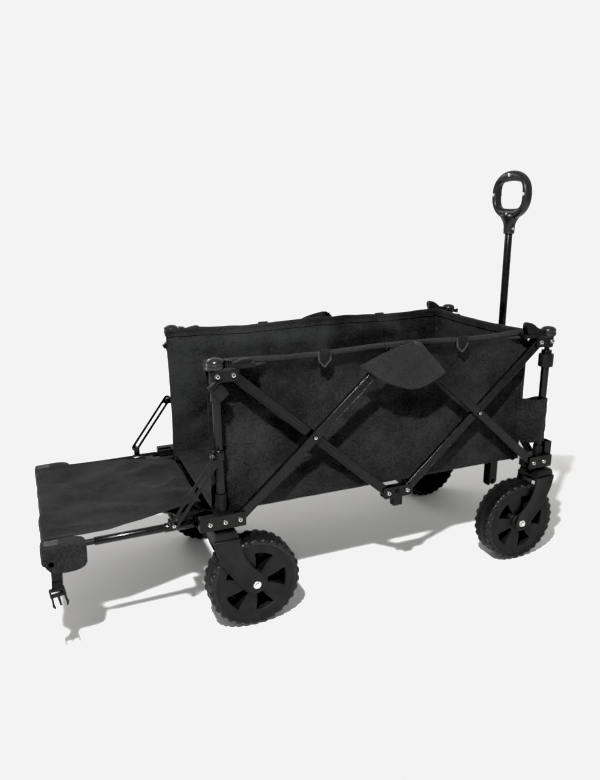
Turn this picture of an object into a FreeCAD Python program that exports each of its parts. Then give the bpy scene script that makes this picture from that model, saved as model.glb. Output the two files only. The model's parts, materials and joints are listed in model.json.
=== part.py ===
"""Folding camp wagon with a drop-down tailgate.

Millimetres. +X is forward (the pulling handle), +Z is up and the ground is z = 0.
The wagon's right side is -Y. Two crossed-bar sides and a crossed-bar front join four
telescoping corner posts, so every bar turns by the same angle when the frame folds.
"""
import FreeCAD, Part
import math
import os
import re

import Sketcher

RIGHT, LEFT = -1, 1
REAR, FRONT = -1, 1
SIDE_NAMES = {RIGHT: "right", LEFT: "left"}
END_NAMES = {REAR: "rear", FRONT: "front"}

# driving dimensions
SIZES = {
    "open_angle": 41.5,
    "lower_arm": 225,
    "upper_arm": 242,
    "hub_pin": 24,
    "post_offset": 31.2,
    "post_y": 202,
    "low_z": 251,
    "bar_width": 20,
    "bar_wall": 1.2,
    "bar_gap": 0.5,
    "inner_bar_in": 204,
    "inner_bar_out": 213,
    "outer_bar_in": 214,
    "outer_bar_out": 223,
    "cheek": 3.5,
    "bracket_in": 190,
    "bracket_half": 15,
    "slot_reach": 30,
    "eye_r": 11,
    "spacer_r": 6,
    "foot_screw_deep": 6,
    "top_screw_deep": 8,
    "foot_long": 52,
    "foot_short": 44,
    "front_foot_long": 24,
    "front_sleeve_top": 287,
    "keeper_start": 12,
    "keeper_end": 32,
    "keeper_y": 203,
    "keeper_half": 11,
    "keeper_wall": 2,
    "keeper_low": 255,
    "keeper_floor": 269,
    "keeper_top": 295,
    "pivot_r": 3,
    "play": 0.05,
    "head_r": 5,
    "head_rise": 3,
    "socket_r": 1.9,
    "socket_deep": 1.6,
    "post_r": 9.5,
    "post_bore_r": 7,
    "rod_r": 6,
    "rod_play": 0.4,
    "post_sleeve_r": 11.5,
    "post_sleeve_top": 305,
    "collar_r": 12,
    "collar_low": 497,
    "collar_top": 526,
    "collar_seat": 18,
    "rod_low": 360,
    "connector_low": 534,
    "connector_r": 13,
    "cap_low": 563,
    "cap_top": 582,
    "cap_r": 16.5,
    "top_cheek": 12,
    "top_lap": 4,
    "top_slot": 10.8,
    "clip_low": 560,
    "clip_half": 10.5,
    "clip_reach": 78,
    "clip_thick": 9,
    "hub_half": 37,
    "hub_rise": 13,
    "hub_web_half": 9,
    "hub_stand_half": 11,
    "hub_screw": 4,
    "hub_foot_drop": 33,
    "front_tab_in": 391,
    "front_tab_out": 400,
    "front_bar_in": 401,
    "front_bar_out": 409.5,
    "lead_bar_in": 410.5,
    "lead_bar_out": 419,
    "carrier_back": 420.5,
    "carrier_face": 423.5,
    "carrier_lip": 445,
    "carrier_half": 13.2,
    "carrier_wall": 1.5,
    "carrier_low": 96,
    "channel_top": 330,
    "handle_x": 435,
    "handle_low": 108,
    "handle_pin_r": 4,
    "handle_shoulder": 14,
    "handle_plug": 30,
    "lower_tube_r": 11,
    "lower_tube_bore": 9.7,
    "lower_tube_top": 500,
    "pole_r": 9.5,
    "pole_bore": 8.2,
    "pole_low": 392,
    "lock_r": 14,
    "lock_low": 484,
    "lock_top": 520,
    "button_r": 4.5,
    "button_out": 17.4,
    "button_in": 12.4,
    "neck_low": 792,
    "grip_z": 882,
    "grip_half_y": 65,
    "grip_half_z": 60,
    "grip_hole_y": 45,
    "grip_hole_z": 30,
    "grip_thick": 28,
    "grip_round": 8,
    "grip_seat": 18,
    "finger_r": 10,
    "finger_step": 19,
    "finger_rise": 26,
    "finger_drop": 5,
    "wheel_r": 100,
    "wheel_y": 204,
    "wheel_width": 54,
    "wheel_inset": 60,
    "tyre_in_r": 76,
    "tyre_shoulder": 12,
    "tread_bevel": 8,
    "side_bevel": 4,
    "rim_lip_r": 68,
    "rim_web": 12,
    "rim_hub_r": 21,
    "window_in_r": 31,
    "window_out_r": 62,
    "window_in_angle": 18,
    "window_out_angle": 22,
    "axle_r": 5,
    "fork_plate": 5,
    "fork_gap": 2,
    "fork_top": 230,
    "fork_leg_top": 213,
    "fork_crown": 10,
    "fork_half": 26,
    "fork_neck_r": 20,
    "fork_end_r": 19,
    "stem_r": 8,
    "stem_top": 239,
    "boss_r": 19,
    "gate_hinge_x": 436,
    "gate_tube_r": 8,
    "gate_tube_bore": 6.5,
    "gate_tube_end": 655,
    "gate_eye_end": 452,
    "gate_sleeve_r": 9.5,
    "gate_sleeve_start": 463,
    "gate_sleeve_end": 521,
    "gate_arm_near": 474,
    "gate_arm_far": 494,
    "gate_arm_middle": 484,
    "gate_end": 752,
    "gate_block_start": 676,
    "gate_block_end": 710,
    "gate_block_out": 214,
    "gate_rod_inset": 8,
    "gate_block_low": 222,
    "gate_block_top": 264,
    "gate_bar_low": 236,
    "gate_bar_thick": 6,
    "gate_arm_low": 251.5,
    "gate_arm_top": 256.5,
    "link_in": 231,
    "link_out": 235,
    "link_shank": 10,
    "link_slot_start": 17,
    "stud_r": 5,
    "stud_lug_half": 7,
    "clamp_ear_r": 7,
    "link_half": 9,
    "link_slot_half": 3.5,
    "link_post_x": 420,
    "link_post_z": 388,
    "link_pin_x": 509,
    "link_pin_z": 268,
    "clamp_low": 378,
    "clamp_top": 398,
    "clamp_r": 12.5,
    "cloth": 3,
    "wall_y": 184,
    "wall_rear_x": 420,
    "wall_front_x": 352,
    "wall_low": 252,
    "wall_top": 575,
    "floor_low": 252,
    "panel_low": 258,
    "panel_start_x": 431,
    "panel_end_x": 745,
    "panel_start_y": 130,
    "panel_end_y": 187,
    "ring_x": 170,
    "ring_y": 190,
    "ring_top": 573,
    "ring_low": 537,
    "ring_half": 15,
    "ring_rod": 4,
    "strap_x": 735,
    "strap_y": 219.5,
    "strap_pin_z": 230,
    "strap_half": 10,
    "strap_thick": 2,
    "strap_low": 178,
    "strap_top": 237,
    "buckle_frame": 10,
    "prong_half": 3,
    "prong_thick": 5,
    "prong_place": 10.5,
    "buckle_half": 14.5,
    "buckle_low": 136,
    "buckle_thick": 9,
}

# places that follow from the driving dimensions
LAYOUT = {
    "cross_y": "lower_arm * cos(open_angle)",
    "corner_x": "hub_pin + (lower_arm + upper_arm) * cos(open_angle)",
    "post_x": "corner_x + post_offset",
    "cross_x": "hub_pin + upper_arm * cos(open_angle)",
    "cross_z": "low_z + lower_arm * sin(open_angle)",
    "high_z": "low_z + 2 * lower_arm * sin(open_angle)",
    "top_hub_z": "low_z + (lower_arm + upper_arm) * sin(open_angle)",
    "low_hub_z": "high_z - (lower_arm + upper_arm) * sin(open_angle)",
    "axle_x": "post_x - wheel_inset",
    "gate_span": "2 * lower_arm * sin(open_angle)",
    "gate_pin_x": "gate_hinge_x + gate_span",
    "front_reach": "handle_x + grip_thick / 2",
    "middle_x": "(gate_end - front_reach) / 2",
}

doc = FreeCAD.newDocument("FoldingCampWagon")
Vec = FreeCAD.Vector
NODES = {}


def formula(text):
    """An expression whose words point at the two sheets' named cells."""

    def cell(match):
        word = match.group(0)
        if word in SIZES:
            return "Sizes." + word
        if word in LAYOUT:
            return "Layout." + word
        return word

    return re.sub(r"[a-z]+(?:_[a-z]+)*", cell, str(text))


def fill_sheet(name, cells, convert):
    sheet = doc.addObject("Spreadsheet::Sheet", name)
    for row, (alias, value) in enumerate(cells.items(), start=1):
        sheet.set(f"A{row}", alias)
        sheet.setAlias(f"B{row}", alias)
        sheet.set(f"B{row}", convert(value))
        if name == "Layout":
            doc.recompute()
    doc.recompute()
    return sheet


sizes_sheet = fill_sheet("Sizes", SIZES, str)
layout_sheet = fill_sheet("Layout", LAYOUT, lambda text: "=" + formula(text))


def at(alias):
    """The value of one named cell."""
    sheet = sizes_sheet if alias in SIZES else layout_sheet
    return float(sheet.get(alias))


def span(sign, low, high):
    """Two places along an axis, mirrored when sign is -1."""
    if sign > 0:
        return str(low), str(high)
    return f"-({high})", f"-({low})"


def slab(label, x, y, z):
    """A block between pairs of places along X, Y and Z."""
    block = doc.addObject("Part::Box", label)
    for (low, high), size, axis in zip((x, y, z), ("Length", "Width", "Height"), "xyz"):
        block.setExpression(size, formula(f"({high}) - ({low})"))
        block.setExpression("Placement.Base." + axis, formula(low))
    return block


AXIS_TURNS = {
    "x": FreeCAD.Rotation(Vec(0, 1, 0), 90),
    "y": FreeCAD.Rotation(Vec(1, 0, 0), -90),
    "z": FreeCAD.Rotation(),
}


def round_bar(label, axis, across, along, radius):
    """A cylinder along an axis. across gives its place on the other two axes, in X, Y, Z order."""
    bar = doc.addObject("Part::Cylinder", label)
    low, high = along
    bar.Placement = FreeCAD.Placement(Vec(), AXIS_TURNS[axis])
    bar.setExpression("Radius", formula(radius))
    bar.setExpression("Height", formula(f"({high}) - ({low})"))
    bar.setExpression("Placement.Base." + axis, formula(low))
    for other, place in zip([name for name in "xyz" if name != axis], across):
        bar.setExpression("Placement.Base." + other, formula(place))
    return bar


def fuse(label, pieces):
    if len(pieces) == 1:
        return pieces[0]
    joined = doc.addObject("Part::MultiFuse", label)
    joined.Shapes = pieces
    joined.Refine = True
    return joined


def cut(label, base, tools):
    left = doc.addObject("Part::Cut", label)
    left.Base = base
    left.Tool = fuse(label + "_tools", tools)
    left.Refine = True
    return left


def hollow(label, axis, across, along, outer, inner):
    """A tube."""
    low, high = along
    return cut(
        label,
        round_bar(label + "_outside", axis, across, along, outer),
        [round_bar(label + "_bore", axis, across, (f"({low}) - 1", f"({high}) + 1"), inner)],
    )


def screw(label, axis, across, start, end, radius="pivot_r", heads=1):
    """A pivot screw from start to end, with a socket head outside end and, if heads is 2, a nut."""
    toward = 1 if float_of(end) > float_of(start) else -1
    shank = round_bar(label + "_shank", axis, across, ordered(start, end), radius)
    top = f"({end}) + ({toward}) * head_rise"
    head = round_bar(label + "_head", axis, across, ordered(end, top), "head_r")
    pieces = [shank, head]
    if heads == 2:
        foot = f"({start}) - ({toward}) * head_rise"
        pieces.append(round_bar(label + "_nut", axis, across, ordered(start, foot), "head_r"))
    deep = f"({top}) - ({toward}) * socket_deep"
    far = f"({top}) + ({toward})"
    socket = round_bar(label + "_socket", axis, across, ordered(deep, far), "socket_r")
    return cut(label, fuse(label + "_body", pieces), [socket])


def float_of(text):
    """The value of a short sum of named cells and numbers, read back from the document."""
    probe = doc.getObject("Probe") or doc.addObject("App::FeaturePython", "Probe")
    if "Value" not in probe.PropertiesList:
        probe.addProperty("App::PropertyFloat", "Value")
    probe.setExpression("Value", formula(text))
    probe.recompute()
    return float(probe.Value)


def ordered(one, other):
    """Two places in rising order."""
    return (str(one), str(other)) if float_of(one) < float_of(other) else (str(other), str(one))


def soften(label, base, radius, choose):
    """Round the edges of a finished piece that choose picks."""
    doc.recompute()
    picked = [i for i, edge in enumerate(base.Shape.Edges, start=1) if choose(edge)]
    rounded = doc.addObject("Part::Fillet", label)
    rounded.Base = base
    rounded.Edges = [(i, radius, radius) for i in picked]
    return rounded


def along_axis(axis):
    """Picks straight edges parallel to an axis."""

    def choose(edge):
        if not isinstance(edge.Curve, Part.Line):
            return False
        return abs(abs(edge.Curve.Direction.dot(axis)) - 1) < 1e-6

    return choose


def node(name, pieces):
    """A sub-part: one solid, or the solids that stay together."""
    whole = doc.addObject("Part::Compound", name)
    whole.Label = name
    whole.Links = pieces
    whole.setExpression("Placement.Base.x", formula("middle_x"))
    NODES[name] = whole
    return whole


def rounded_outline(points, radius):
    """Lines and arcs round a polygon whose corners are rounded."""
    count = len(points)
    corners = []
    for i, point in enumerate(points):
        before = (points[i - 1] - point).normalize()
        after = (points[(i + 1) % count] - point).normalize()
        half = math.acos(max(-1.0, min(1.0, before.dot(after)))) / 2
        back = radius / math.tan(half)
        start = point + before * back
        end = point + after * back
        bisector = (before + after).normalize()
        middle = point + bisector * (radius / math.sin(half) - radius)
        corners.append((start, middle, end))
    edges = []
    for i, (start, middle, end) in enumerate(corners):
        edges.append(Part.Arc(start, middle, end))
        edges.append(Part.LineSegment(end, corners[(i + 1) % count][0]))
    return edges


def sketch_in(body, role, edges, name):
    """A sketch on one of a body's own planes."""
    sketch = body.newObject("Sketcher::SketchObject", name)
    origin_plane = next(f for f in body.Origin.OriginFeatures if f.Role == role)
    sketch.AttachmentSupport = (origin_plane, [""])
    sketch.MapMode = "FlatFace"
    sketch.addGeometry(edges, False)
    return sketch


def padded_body(label, outline, depth, holes=()):
    """A plate: an outline on the body's own XY plane, raised by depth, with round holes."""
    body = doc.addObject("PartDesign::Body", label)
    profile = sketch_in(body, "XY_Plane", outline, label + "_outline")
    pad = body.newObject("PartDesign::Pad", label + "_pad")
    pad.Profile = profile
    pad.setExpression("Length", formula(depth))
    for n, (centre, radius) in enumerate(holes):
        circle = Part.Circle(centre, Vec(0, 0, 1), float_of(radius))
        sketch = sketch_in(body, "XY_Plane", [circle], f"{label}_hole_{n}")
        ring = sketch.addConstraint(Sketcher.Constraint("Radius", 0, float_of(radius)))
        sketch.setExpression(f"Constraints[{ring}]", formula(radius))
        pocket = body.newObject("PartDesign::Pocket", f"{label}_pocket_{n}")
        pocket.Profile = sketch
        pocket.Type = "ThroughAll"
        pocket.Reversed = True
    return body


def plate_upright(body, side, inner, outer):
    """Stand a body's XY outline up in the XZ plane, between two places across the wagon."""
    low = ordered(*span(side, inner, outer))
    body.Placement = FreeCAD.Placement(Vec(), FreeCAD.Rotation(Vec(1, 0, 0), 90))
    body.setExpression("Placement.Base.y", formula(low[1]))


# ---------------------------------------------------------------- crossed bars


def flat_bar(label, length, thick, holes):
    """A hollow rectangular bar along its own X from its first pivot, lying on its own XY plane."""
    half = "bar_width / 2"
    solid = fuse(
        label + "_outside",
        [
            slab(label + "_run", ("0", length), (f"-({half})", half), ("0", thick)),
            round_bar(label + "_start", "z", ("0", "0"), ("0", thick), half),
            round_bar(label + "_end", "z", (length, "0"), ("0", thick), half),
        ],
    )
    inside = slab(
        label + "_inside",
        ("bar_width / 2", f"({length}) - bar_width / 2"),
        (f"bar_wall - {half}", f"{half} - bar_wall"),
        ("bar_wall", f"({thick}) - bar_wall"),
    )
    bores = [
        round_bar(f"{label}_bore_{n}", "z", (place, "0"), ("-1", f"({thick}) + 1"), radius)
        for n, (place, radius) in enumerate(holes)
    ]
    return cut(label + "_tube", solid, [inside, *bores])


def stand_bar(name, bar, extras, origin, rotation):
    """Give a bar its place: origin is its first pivot."""
    whole = doc.addObject("Part::Compound", name)
    whole.Label = name
    whole.Links = [bar, *extras]
    whole.Placement = FreeCAD.Placement(Vec(), rotation)
    for axis, place in zip("xyz", origin):
        whole.setExpression("Placement.Base." + axis, formula(place))
    NODES[name] = whole


LOOSE = "pivot_r + play"


def side_bar(side, end, outer):
    """An outer bar climbs from a foot to the top hub, an inner bar drops from a post top."""
    kind = "outer" if outer else "inner"
    name = f"{SIDE_NAMES[side]}_{kind}_bar_{END_NAMES[end]}"
    length = "lower_arm + upper_arm"
    thick = f"{kind}_bar_out - {kind}_bar_in"
    crossing_r = "pivot_r" if outer else LOOSE
    holes = [("0", LOOSE), ("lower_arm", crossing_r), (length, LOOSE)]
    bar = flat_bar(name, length, thick, holes)
    extras = []
    # local Z points away from the wagon's middle, so that the screw heads face outward
    if outer:
        start = "-(outer_bar_in - inner_bar_in)"
        extras.append(
            screw(name + "_crossing", "z", ("lower_arm", "0"), start, thick, heads=2)
        )
    angle = at("open_angle")
    rise = angle if outer else -angle
    direction = Vec(-end * math.cos(math.radians(rise)), 0, math.sin(math.radians(rise)))
    outward = Vec(0, side, 0)
    rotation = FreeCAD.Rotation(direction, outward.cross(direction), outward, "XZY")
    origin = (
        f"middle_x + {end} * corner_x",
        f"{side} * {kind}_bar_in",
        "low_z" if outer else "high_z",
    )
    stand_bar(name, bar, extras, origin, rotation)


def front_bar(name, start_side, lead):
    """A bar of the front cross, from a foot up to the other side's post top."""
    length = "2 * lower_arm"
    kind = "lead_bar" if lead else "front_bar"
    thick = f"{kind}_out - {kind}_in"
    crossing_r = "pivot_r" if lead else LOOSE
    bar = flat_bar(name, length, thick, [("0", LOOSE), ("lower_arm", crossing_r), (length, LOOSE)])
    extras = []
    if lead:
        start = "front_bar_in - lead_bar_in"
        shank = round_bar(
            name + "_crossing", "z", ("lower_arm", "0"),
            (start, "carrier_face - lead_bar_in - 0.2"), "pivot_r",
        )
        back = round_bar(
            name + "_crossing_nut", "z", ("lower_arm", "0"),
            (f"{start} - head_rise", start), "head_r",
        )
        extras.append(fuse(name + "_crossing_pin", [shank, back]))
    angle = math.radians(at("open_angle"))
    direction = Vec(0, -start_side * math.cos(angle), math.sin(angle))
    forward = Vec(1, 0, 0)
    rotation = FreeCAD.Rotation(direction, forward.cross(direction), forward, "XZY")
    origin = (f"middle_x + {kind}_in", f"{start_side} * cross_y", "low_z")
    stand_bar(name, bar, extras, origin, rotation)


# ---------------------------------------------------------------- corners


def corner_name(end, side, what):
    return f"{END_NAMES[end]}_{SIDE_NAMES[side]}_{what}"


def foot(end, side):
    """The moulded foot that holds a post, the side bar's lower end and the fork."""
    name = corner_name(end, side, "foot")
    post = f"{end} * post_x"
    pivot = f"{end} * corner_x"
    outer_face = "outer_bar_out + bar_gap + cheek"
    outboard = "foot_long" if end == REAR else "front_foot_long"
    along = span(end, "post_x - foot_short", f"post_x + {outboard}")
    tall = ("low_z - bracket_half", "low_z + bracket_half")
    body = slab(name + "_block", along, span(side, "bracket_in", outer_face), tall)
    body = soften(name + "_block_soft", body, 3, along_axis(Vec(0, 1, 0)))
    solids = [
        body,
        round_bar(name + "_boss", "z", (post, f"{side} * post_y"),
                  ("fork_top", "low_z"), "boss_r"),
        round_bar(name + "_sleeve", "z", (post, f"{side} * post_y"),
                  ("low_z", "post_sleeve_top" if end == REAR else "front_sleeve_top"), "post_sleeve_r"),
    ]
    cuts = [
        round_bar(name + "_socket", "z", (post, f"{side} * post_y"),
                  ("stem_top + 1", "post_sleeve_top + 1"), "post_r"),
        slab(name + "_bar_slot", span(end, "corner_x - slot_reach", "corner_x + eye_r"),
             span(side, "outer_bar_in - bar_gap", "outer_bar_out + bar_gap"),
             ("low_z - eye_r", "low_z + slot_reach")),
    ]
    screws = [
        screw(name + "_bar_screw", "y", (pivot, "low_z"),
              f"{side} * (outer_bar_in - foot_screw_deep)", f"{side} * ({outer_face})"),
        screw(name + "_post_screw", "y", (post, "low_z"),
              f"{side} * (post_y + post_r + 1)", f"{side} * ({outer_face})"),
    ]
    if end == FRONT:
        solids += [
            slab(name + "_front_tab", ("front_tab_in", "front_tab_out"),
                 span(side, "cross_y", "bracket_in + 1"), ("low_z - eye_r", "low_z + eye_r")),
            round_bar(name + "_front_eye", "x", (f"{side} * cross_y", "low_z"),
                      ("front_tab_in", "front_tab_out"), "eye_r"),
            slab(name + "_keeper", ("post_x + keeper_start", "post_x + keeper_end"),
                 span(side, "keeper_y - keeper_half", "keeper_y + keeper_half"), ("keeper_low", "keeper_top")),
        ]
        cuts.append(
            slab(name + "_keeper_hollow",
                 ("post_x + keeper_start + keeper_wall", "post_x + keeper_end - keeper_wall"),
                 span(side, "keeper_y - keeper_half + keeper_wall", "keeper_y + keeper_half - keeper_wall"),
                 ("keeper_floor", "keeper_top + 1"))
        )
        cuts.append(
            round_bar(name + "_stem_bore", "z", (post, f"{side} * post_y"),
                      ("fork_top - 1", "stem_top + 0.2"), "stem_r + play")
        )
        lead = side == RIGHT
        last = "lead_bar_out" if lead else "front_bar_out"
        screws.append(
            round_bar(name + "_front_pin", "x", (f"{side} * cross_y", "low_z"),
                      ("front_tab_in - 2", f"{last} + 0.8"), "pivot_r")
        )
        cuts.append(
            round_bar(name + "_front_pin_hole", "x", (f"{side} * cross_y", "low_z"),
                      ("front_tab_in - 3", "front_tab_out + 1"), "pivot_r")
        )
        if lead:
            screws.append(
                hollow(name + "_spacer", "x", (f"{side} * cross_y", "low_z"),
                       ("front_tab_out", "lead_bar_in - 0.2"), "spacer_r", "pivot_r")
            )
    else:
        cuts.append(
            slab(name + "_gate_slot", span(end, "gate_hinge_x - 12", "post_x + foot_long + 1"),
                 span(side, "post_y - gate_tube_r - bar_gap", "post_y + gate_tube_r + bar_gap"),
                 ("low_z - eye_r", "low_z + slot_reach"))
        )
        screws.append(
            screw(name + "_gate_screw", "y", ("-gate_hinge_x", "low_z"),
                  f"{side} * (bracket_in + 0.5)", f"{side} * ({outer_face})")
        )
        cuts.append(
            round_bar(name + "_gate_screw_hole", "y", ("-gate_hinge_x", "low_z"),
                      span(side, "bracket_in + 0.5", f"{outer_face} + 1"), "pivot_r")
        )
    cuts += [
        round_bar(name + "_bar_screw_hole", "y", (pivot, "low_z"),
                  span(side, "outer_bar_in - foot_screw_deep", f"{outer_face} + 1"), "pivot_r"),
        round_bar(name + "_post_screw_hole", "y", (post, "low_z"),
                  span(side, "post_y + post_r + 1", f"{outer_face} + 1"), "pivot_r"),
    ]
    node(name, [cut(name + "_moulding", fuse(name + "_solid", solids), cuts), *screws])


def post_tube(end, side):
    """The outer tube of a telescoping post, with its plastic collar and, at the rear, a link clamp."""
    name = corner_name(end, side, "post_tube")
    centre = (f"{end} * post_x", f"{side} * post_y")
    pieces = [
        hollow(name + "_tube", "z", centre, ("stem_top + 1", "collar_low + collar_seat"),
               "post_r", "post_bore_r"),
        cut(
            name + "_collar",
            round_bar(name + "_collar_outside", "z", centre, ("collar_low", "collar_top"), "collar_r"),
            [
                round_bar(name + "_collar_seat", "z", centre,
                          ("collar_low - 1", "collar_low + collar_seat"), "post_r"),
                round_bar(name + "_collar_bore", "z", centre,
                          ("collar_low", "collar_top + 1"), "rod_r + rod_play"),
            ],
        ),
    ]
    if end == REAR:
        link = ("-link_post_x", "link_post_z")
        clamp = fuse(
            name + "_clamp_solid",
            [
                round_bar(name + "_clamp_ring", "z", centre, ("clamp_low", "clamp_top"), "clamp_r"),
                round_bar(name + "_clamp_ear", "y", link,
                          span(side, "post_y + post_r", "link_in - 0.5"), "clamp_ear_r"),
                slab(name + "_clamp_web", ("-link_post_x", "-post_x"),
                     span(side, "post_y + post_r", "post_y + clamp_r"),
                     ("link_post_z - clamp_ear_r", "link_post_z + clamp_ear_r")),
            ],
        )
        pieces.append(
            cut(name + "_clamp", clamp, [
                round_bar(name + "_clamp_bore", "z", centre, ("clamp_low - 1", "clamp_top + 1"), "post_r"),
                round_bar(name + "_clamp_hole", "y", link,
                          span(side, "link_in - link_shank", "link_in"), "pivot_r"),
            ])
        )
        pieces.append(
            screw(name + "_link_screw", "y", link,
                  f"{side} * (link_in - link_shank)", f"{side} * (link_out + 0.3)")
        )
    node(name, pieces)


def post_top(end, side):
    """The moulded corner on top of a post: domed cap, bar cheeks, cloth clip and inner rod."""
    name = corner_name(end, side, "post_top")
    post = f"{end} * post_x"
    centre = (post, f"{side} * post_y")
    pivot = f"{end} * corner_x"
    outer_face = "inner_bar_out + bar_gap + cheek"
    bracket = slab(
        name + "_cheeks", span(end, "corner_x - top_cheek", "post_x + top_lap"),
        span(side, "bracket_in + 1", outer_face), ("high_z - top_cheek", "cap_low - 2"),
    )
    bracket = soften(name + "_cheeks_soft", bracket, 3, along_axis(Vec(0, 1, 0)))
    solids = [
        bracket,
        round_bar(name + "_barrel", "z", centre, ("connector_low", "cap_low"), "connector_r"),
        slab(name + "_clip", span(end, "post_x - clip_reach", "post_x - cap_r - bar_gap"),
             span(side, "post_y - clip_half", "post_y + clip_half"), ("clip_low", "clip_low + clip_thick")),
    ]
    cuts = [
        slab(name + "_bar_slot", span(end, "corner_x - slot_reach", "corner_x + eye_r"),
             span(side, "inner_bar_in - bar_gap", "inner_bar_out + bar_gap"),
             ("high_z - slot_reach", "high_z + top_slot")),
        round_bar(name + "_rod_seat", "z", centre, ("connector_low - 1", "cap_low - 5"), "rod_r"),
        round_bar(name + "_bar_screw_hole", "y", (pivot, "high_z"),
                  span(side, "inner_bar_in - top_screw_deep", f"{outer_face} + 1"), "pivot_r"),
        round_bar(name + "_top_screw_hole", "y", (post, "high_z"),
                  span(side, "post_y + rod_r + 1", f"{outer_face} + 1"), "pivot_r"),
    ]
    extras = [
        cap_dome(name + "_cap", centre),
        round_bar(name + "_rod", "z", centre, ("rod_low", "cap_low - 5"), "rod_r"),
        screw(name + "_bar_screw", "y", (pivot, "high_z"),
              f"{side} * (inner_bar_in - top_screw_deep)", f"{side} * ({outer_face})"),
        screw(name + "_top_screw", "y", (post, "high_z"),
              f"{side} * (post_y + rod_r + 1)", f"{side} * ({outer_face})"),
    ]
    if end == FRONT:
        eye = (f"{side} * cross_y", "high_z")
        lead = side == LEFT
        last = "lead_bar_out" if lead else "front_bar_out"
        solids += [
            slab(name + "_front_tab", ("front_tab_in", "front_tab_out"),
                 span(side, "cross_y", "bracket_in + 6"), ("high_z - eye_r", "high_z + eye_r")),
            round_bar(name + "_front_eye", "x", eye, ("front_tab_in", "front_tab_out"), "eye_r"),
        ]
        cuts.append(
            round_bar(name + "_front_pin_hole", "x", eye, ("front_tab_in - 3", "front_tab_out + 1"), "pivot_r")
        )
        extras.append(
            round_bar(name + "_front_pin", "x", eye, ("front_tab_in - 2", f"{last} + 0.8"), "pivot_r")
        )
        if lead:
            extras.append(
                hollow(name + "_spacer", "x", eye, ("front_tab_out", "lead_bar_in - 0.2"),
                       "spacer_r", "pivot_r")
            )
    node(name, [cut(name + "_moulding", fuse(name + "_solid", solids), cuts), *extras])


def cap_dome(label, centre):
    """A shallow dome over a straight rim, turned about the post."""
    body = doc.addObject("PartDesign::Body", label)
    radius, low, top = at("cap_r"), 0.0, at("cap_top") - at("cap_low")
    rim = top * 0.45
    bulge = Vec(radius * 0.62, rim + (top - rim) * 0.78, 0)
    crown = Vec(radius * 0.12, top, 0)
    edges = [
        Part.LineSegment(Vec(0, low, 0), Vec(radius, low, 0)),
        Part.LineSegment(Vec(radius, low, 0), Vec(radius, rim, 0)),
        Part.Arc(Vec(radius, rim, 0), bulge, crown),
        Part.LineSegment(crown, Vec(0, top, 0)),
        Part.LineSegment(Vec(0, top, 0), Vec(0, low, 0)),
    ]
    profile = sketch_in(body, "XZ_Plane", edges, label + "_profile")
    turned = body.newObject("PartDesign::Revolution", label + "_turned")
    turned.Profile = profile
    turned.ReferenceAxis = (profile, ["V_Axis"])
    turned.Angle = 360
    for axis, place in zip("xyz", (*centre, "cap_low")):
        body.setExpression("Placement.Base." + axis, formula(place))
    return body


# ---------------------------------------------------------------- hubs


def hub(side, top):
    """The bracket in the middle of a side that joins two bar ends."""
    level = "top_hub_z" if top else "low_hub_z"
    kind = "outer" if top else "inner"
    name = f"{SIDE_NAMES[side]}_{'top' if top else 'lower'}_hub"
    tall = (f"{level} - hub_rise", f"{level} + hub_rise")
    wide = ("-hub_half", "hub_half")
    plates = [
        slab(name + "_back", wide,
             span(side, f"{kind}_bar_in - bar_gap - cheek", f"{kind}_bar_in - bar_gap"), tall),
        slab(name + "_face", wide,
             span(side, f"{kind}_bar_out + bar_gap", f"{kind}_bar_out + bar_gap + cheek"), tall),
    ]
    plates = [soften(plate.Label + "_soft", plate, 6, along_axis(Vec(0, 1, 0))) for plate in plates]
    through = span(side, f"{kind}_bar_in - bar_gap - cheek", f"{kind}_bar_out + bar_gap + cheek")
    solids = [*plates, slab(name + "_web", ("-hub_web_half", "hub_web_half"), through, tall)]
    if not top:
        solids.append(
            slab(name + "_stand", ("-hub_stand_half", "hub_stand_half"), through,
                 (f"{level} - hub_foot_drop", f"{level} - hub_rise + 1"))
        )
    start = f"{side} * ({kind}_bar_in - bar_gap - cheek)"
    end = f"{side} * ({kind}_bar_out + bar_gap + cheek)"
    pins = []
    holes = []
    for n, place in enumerate(("-hub_pin", "hub_pin")):
        pins.append(screw(f"{name}_pin_{n}", "y", (place, level), start, end))
        holes.append(round_bar(f"{name}_hole_{n}", "y", (place, level), through, "pivot_r"))
    if not top:
        middle = f"{side} * ({kind}_bar_out - hub_screw)"
        pins.append(screw(name + "_screw", "y", ("0", level), middle, end))
        holes.append(
            round_bar(name + "_screw_hole", "y", ("0", level), ordered(middle, f"{end} + {side}"), "pivot_r")
        )
    node(name, [cut(name + "_moulding", fuse(name + "_solid", solids), holes), *pins])


# ---------------------------------------------------------------- forks and wheels


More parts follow.
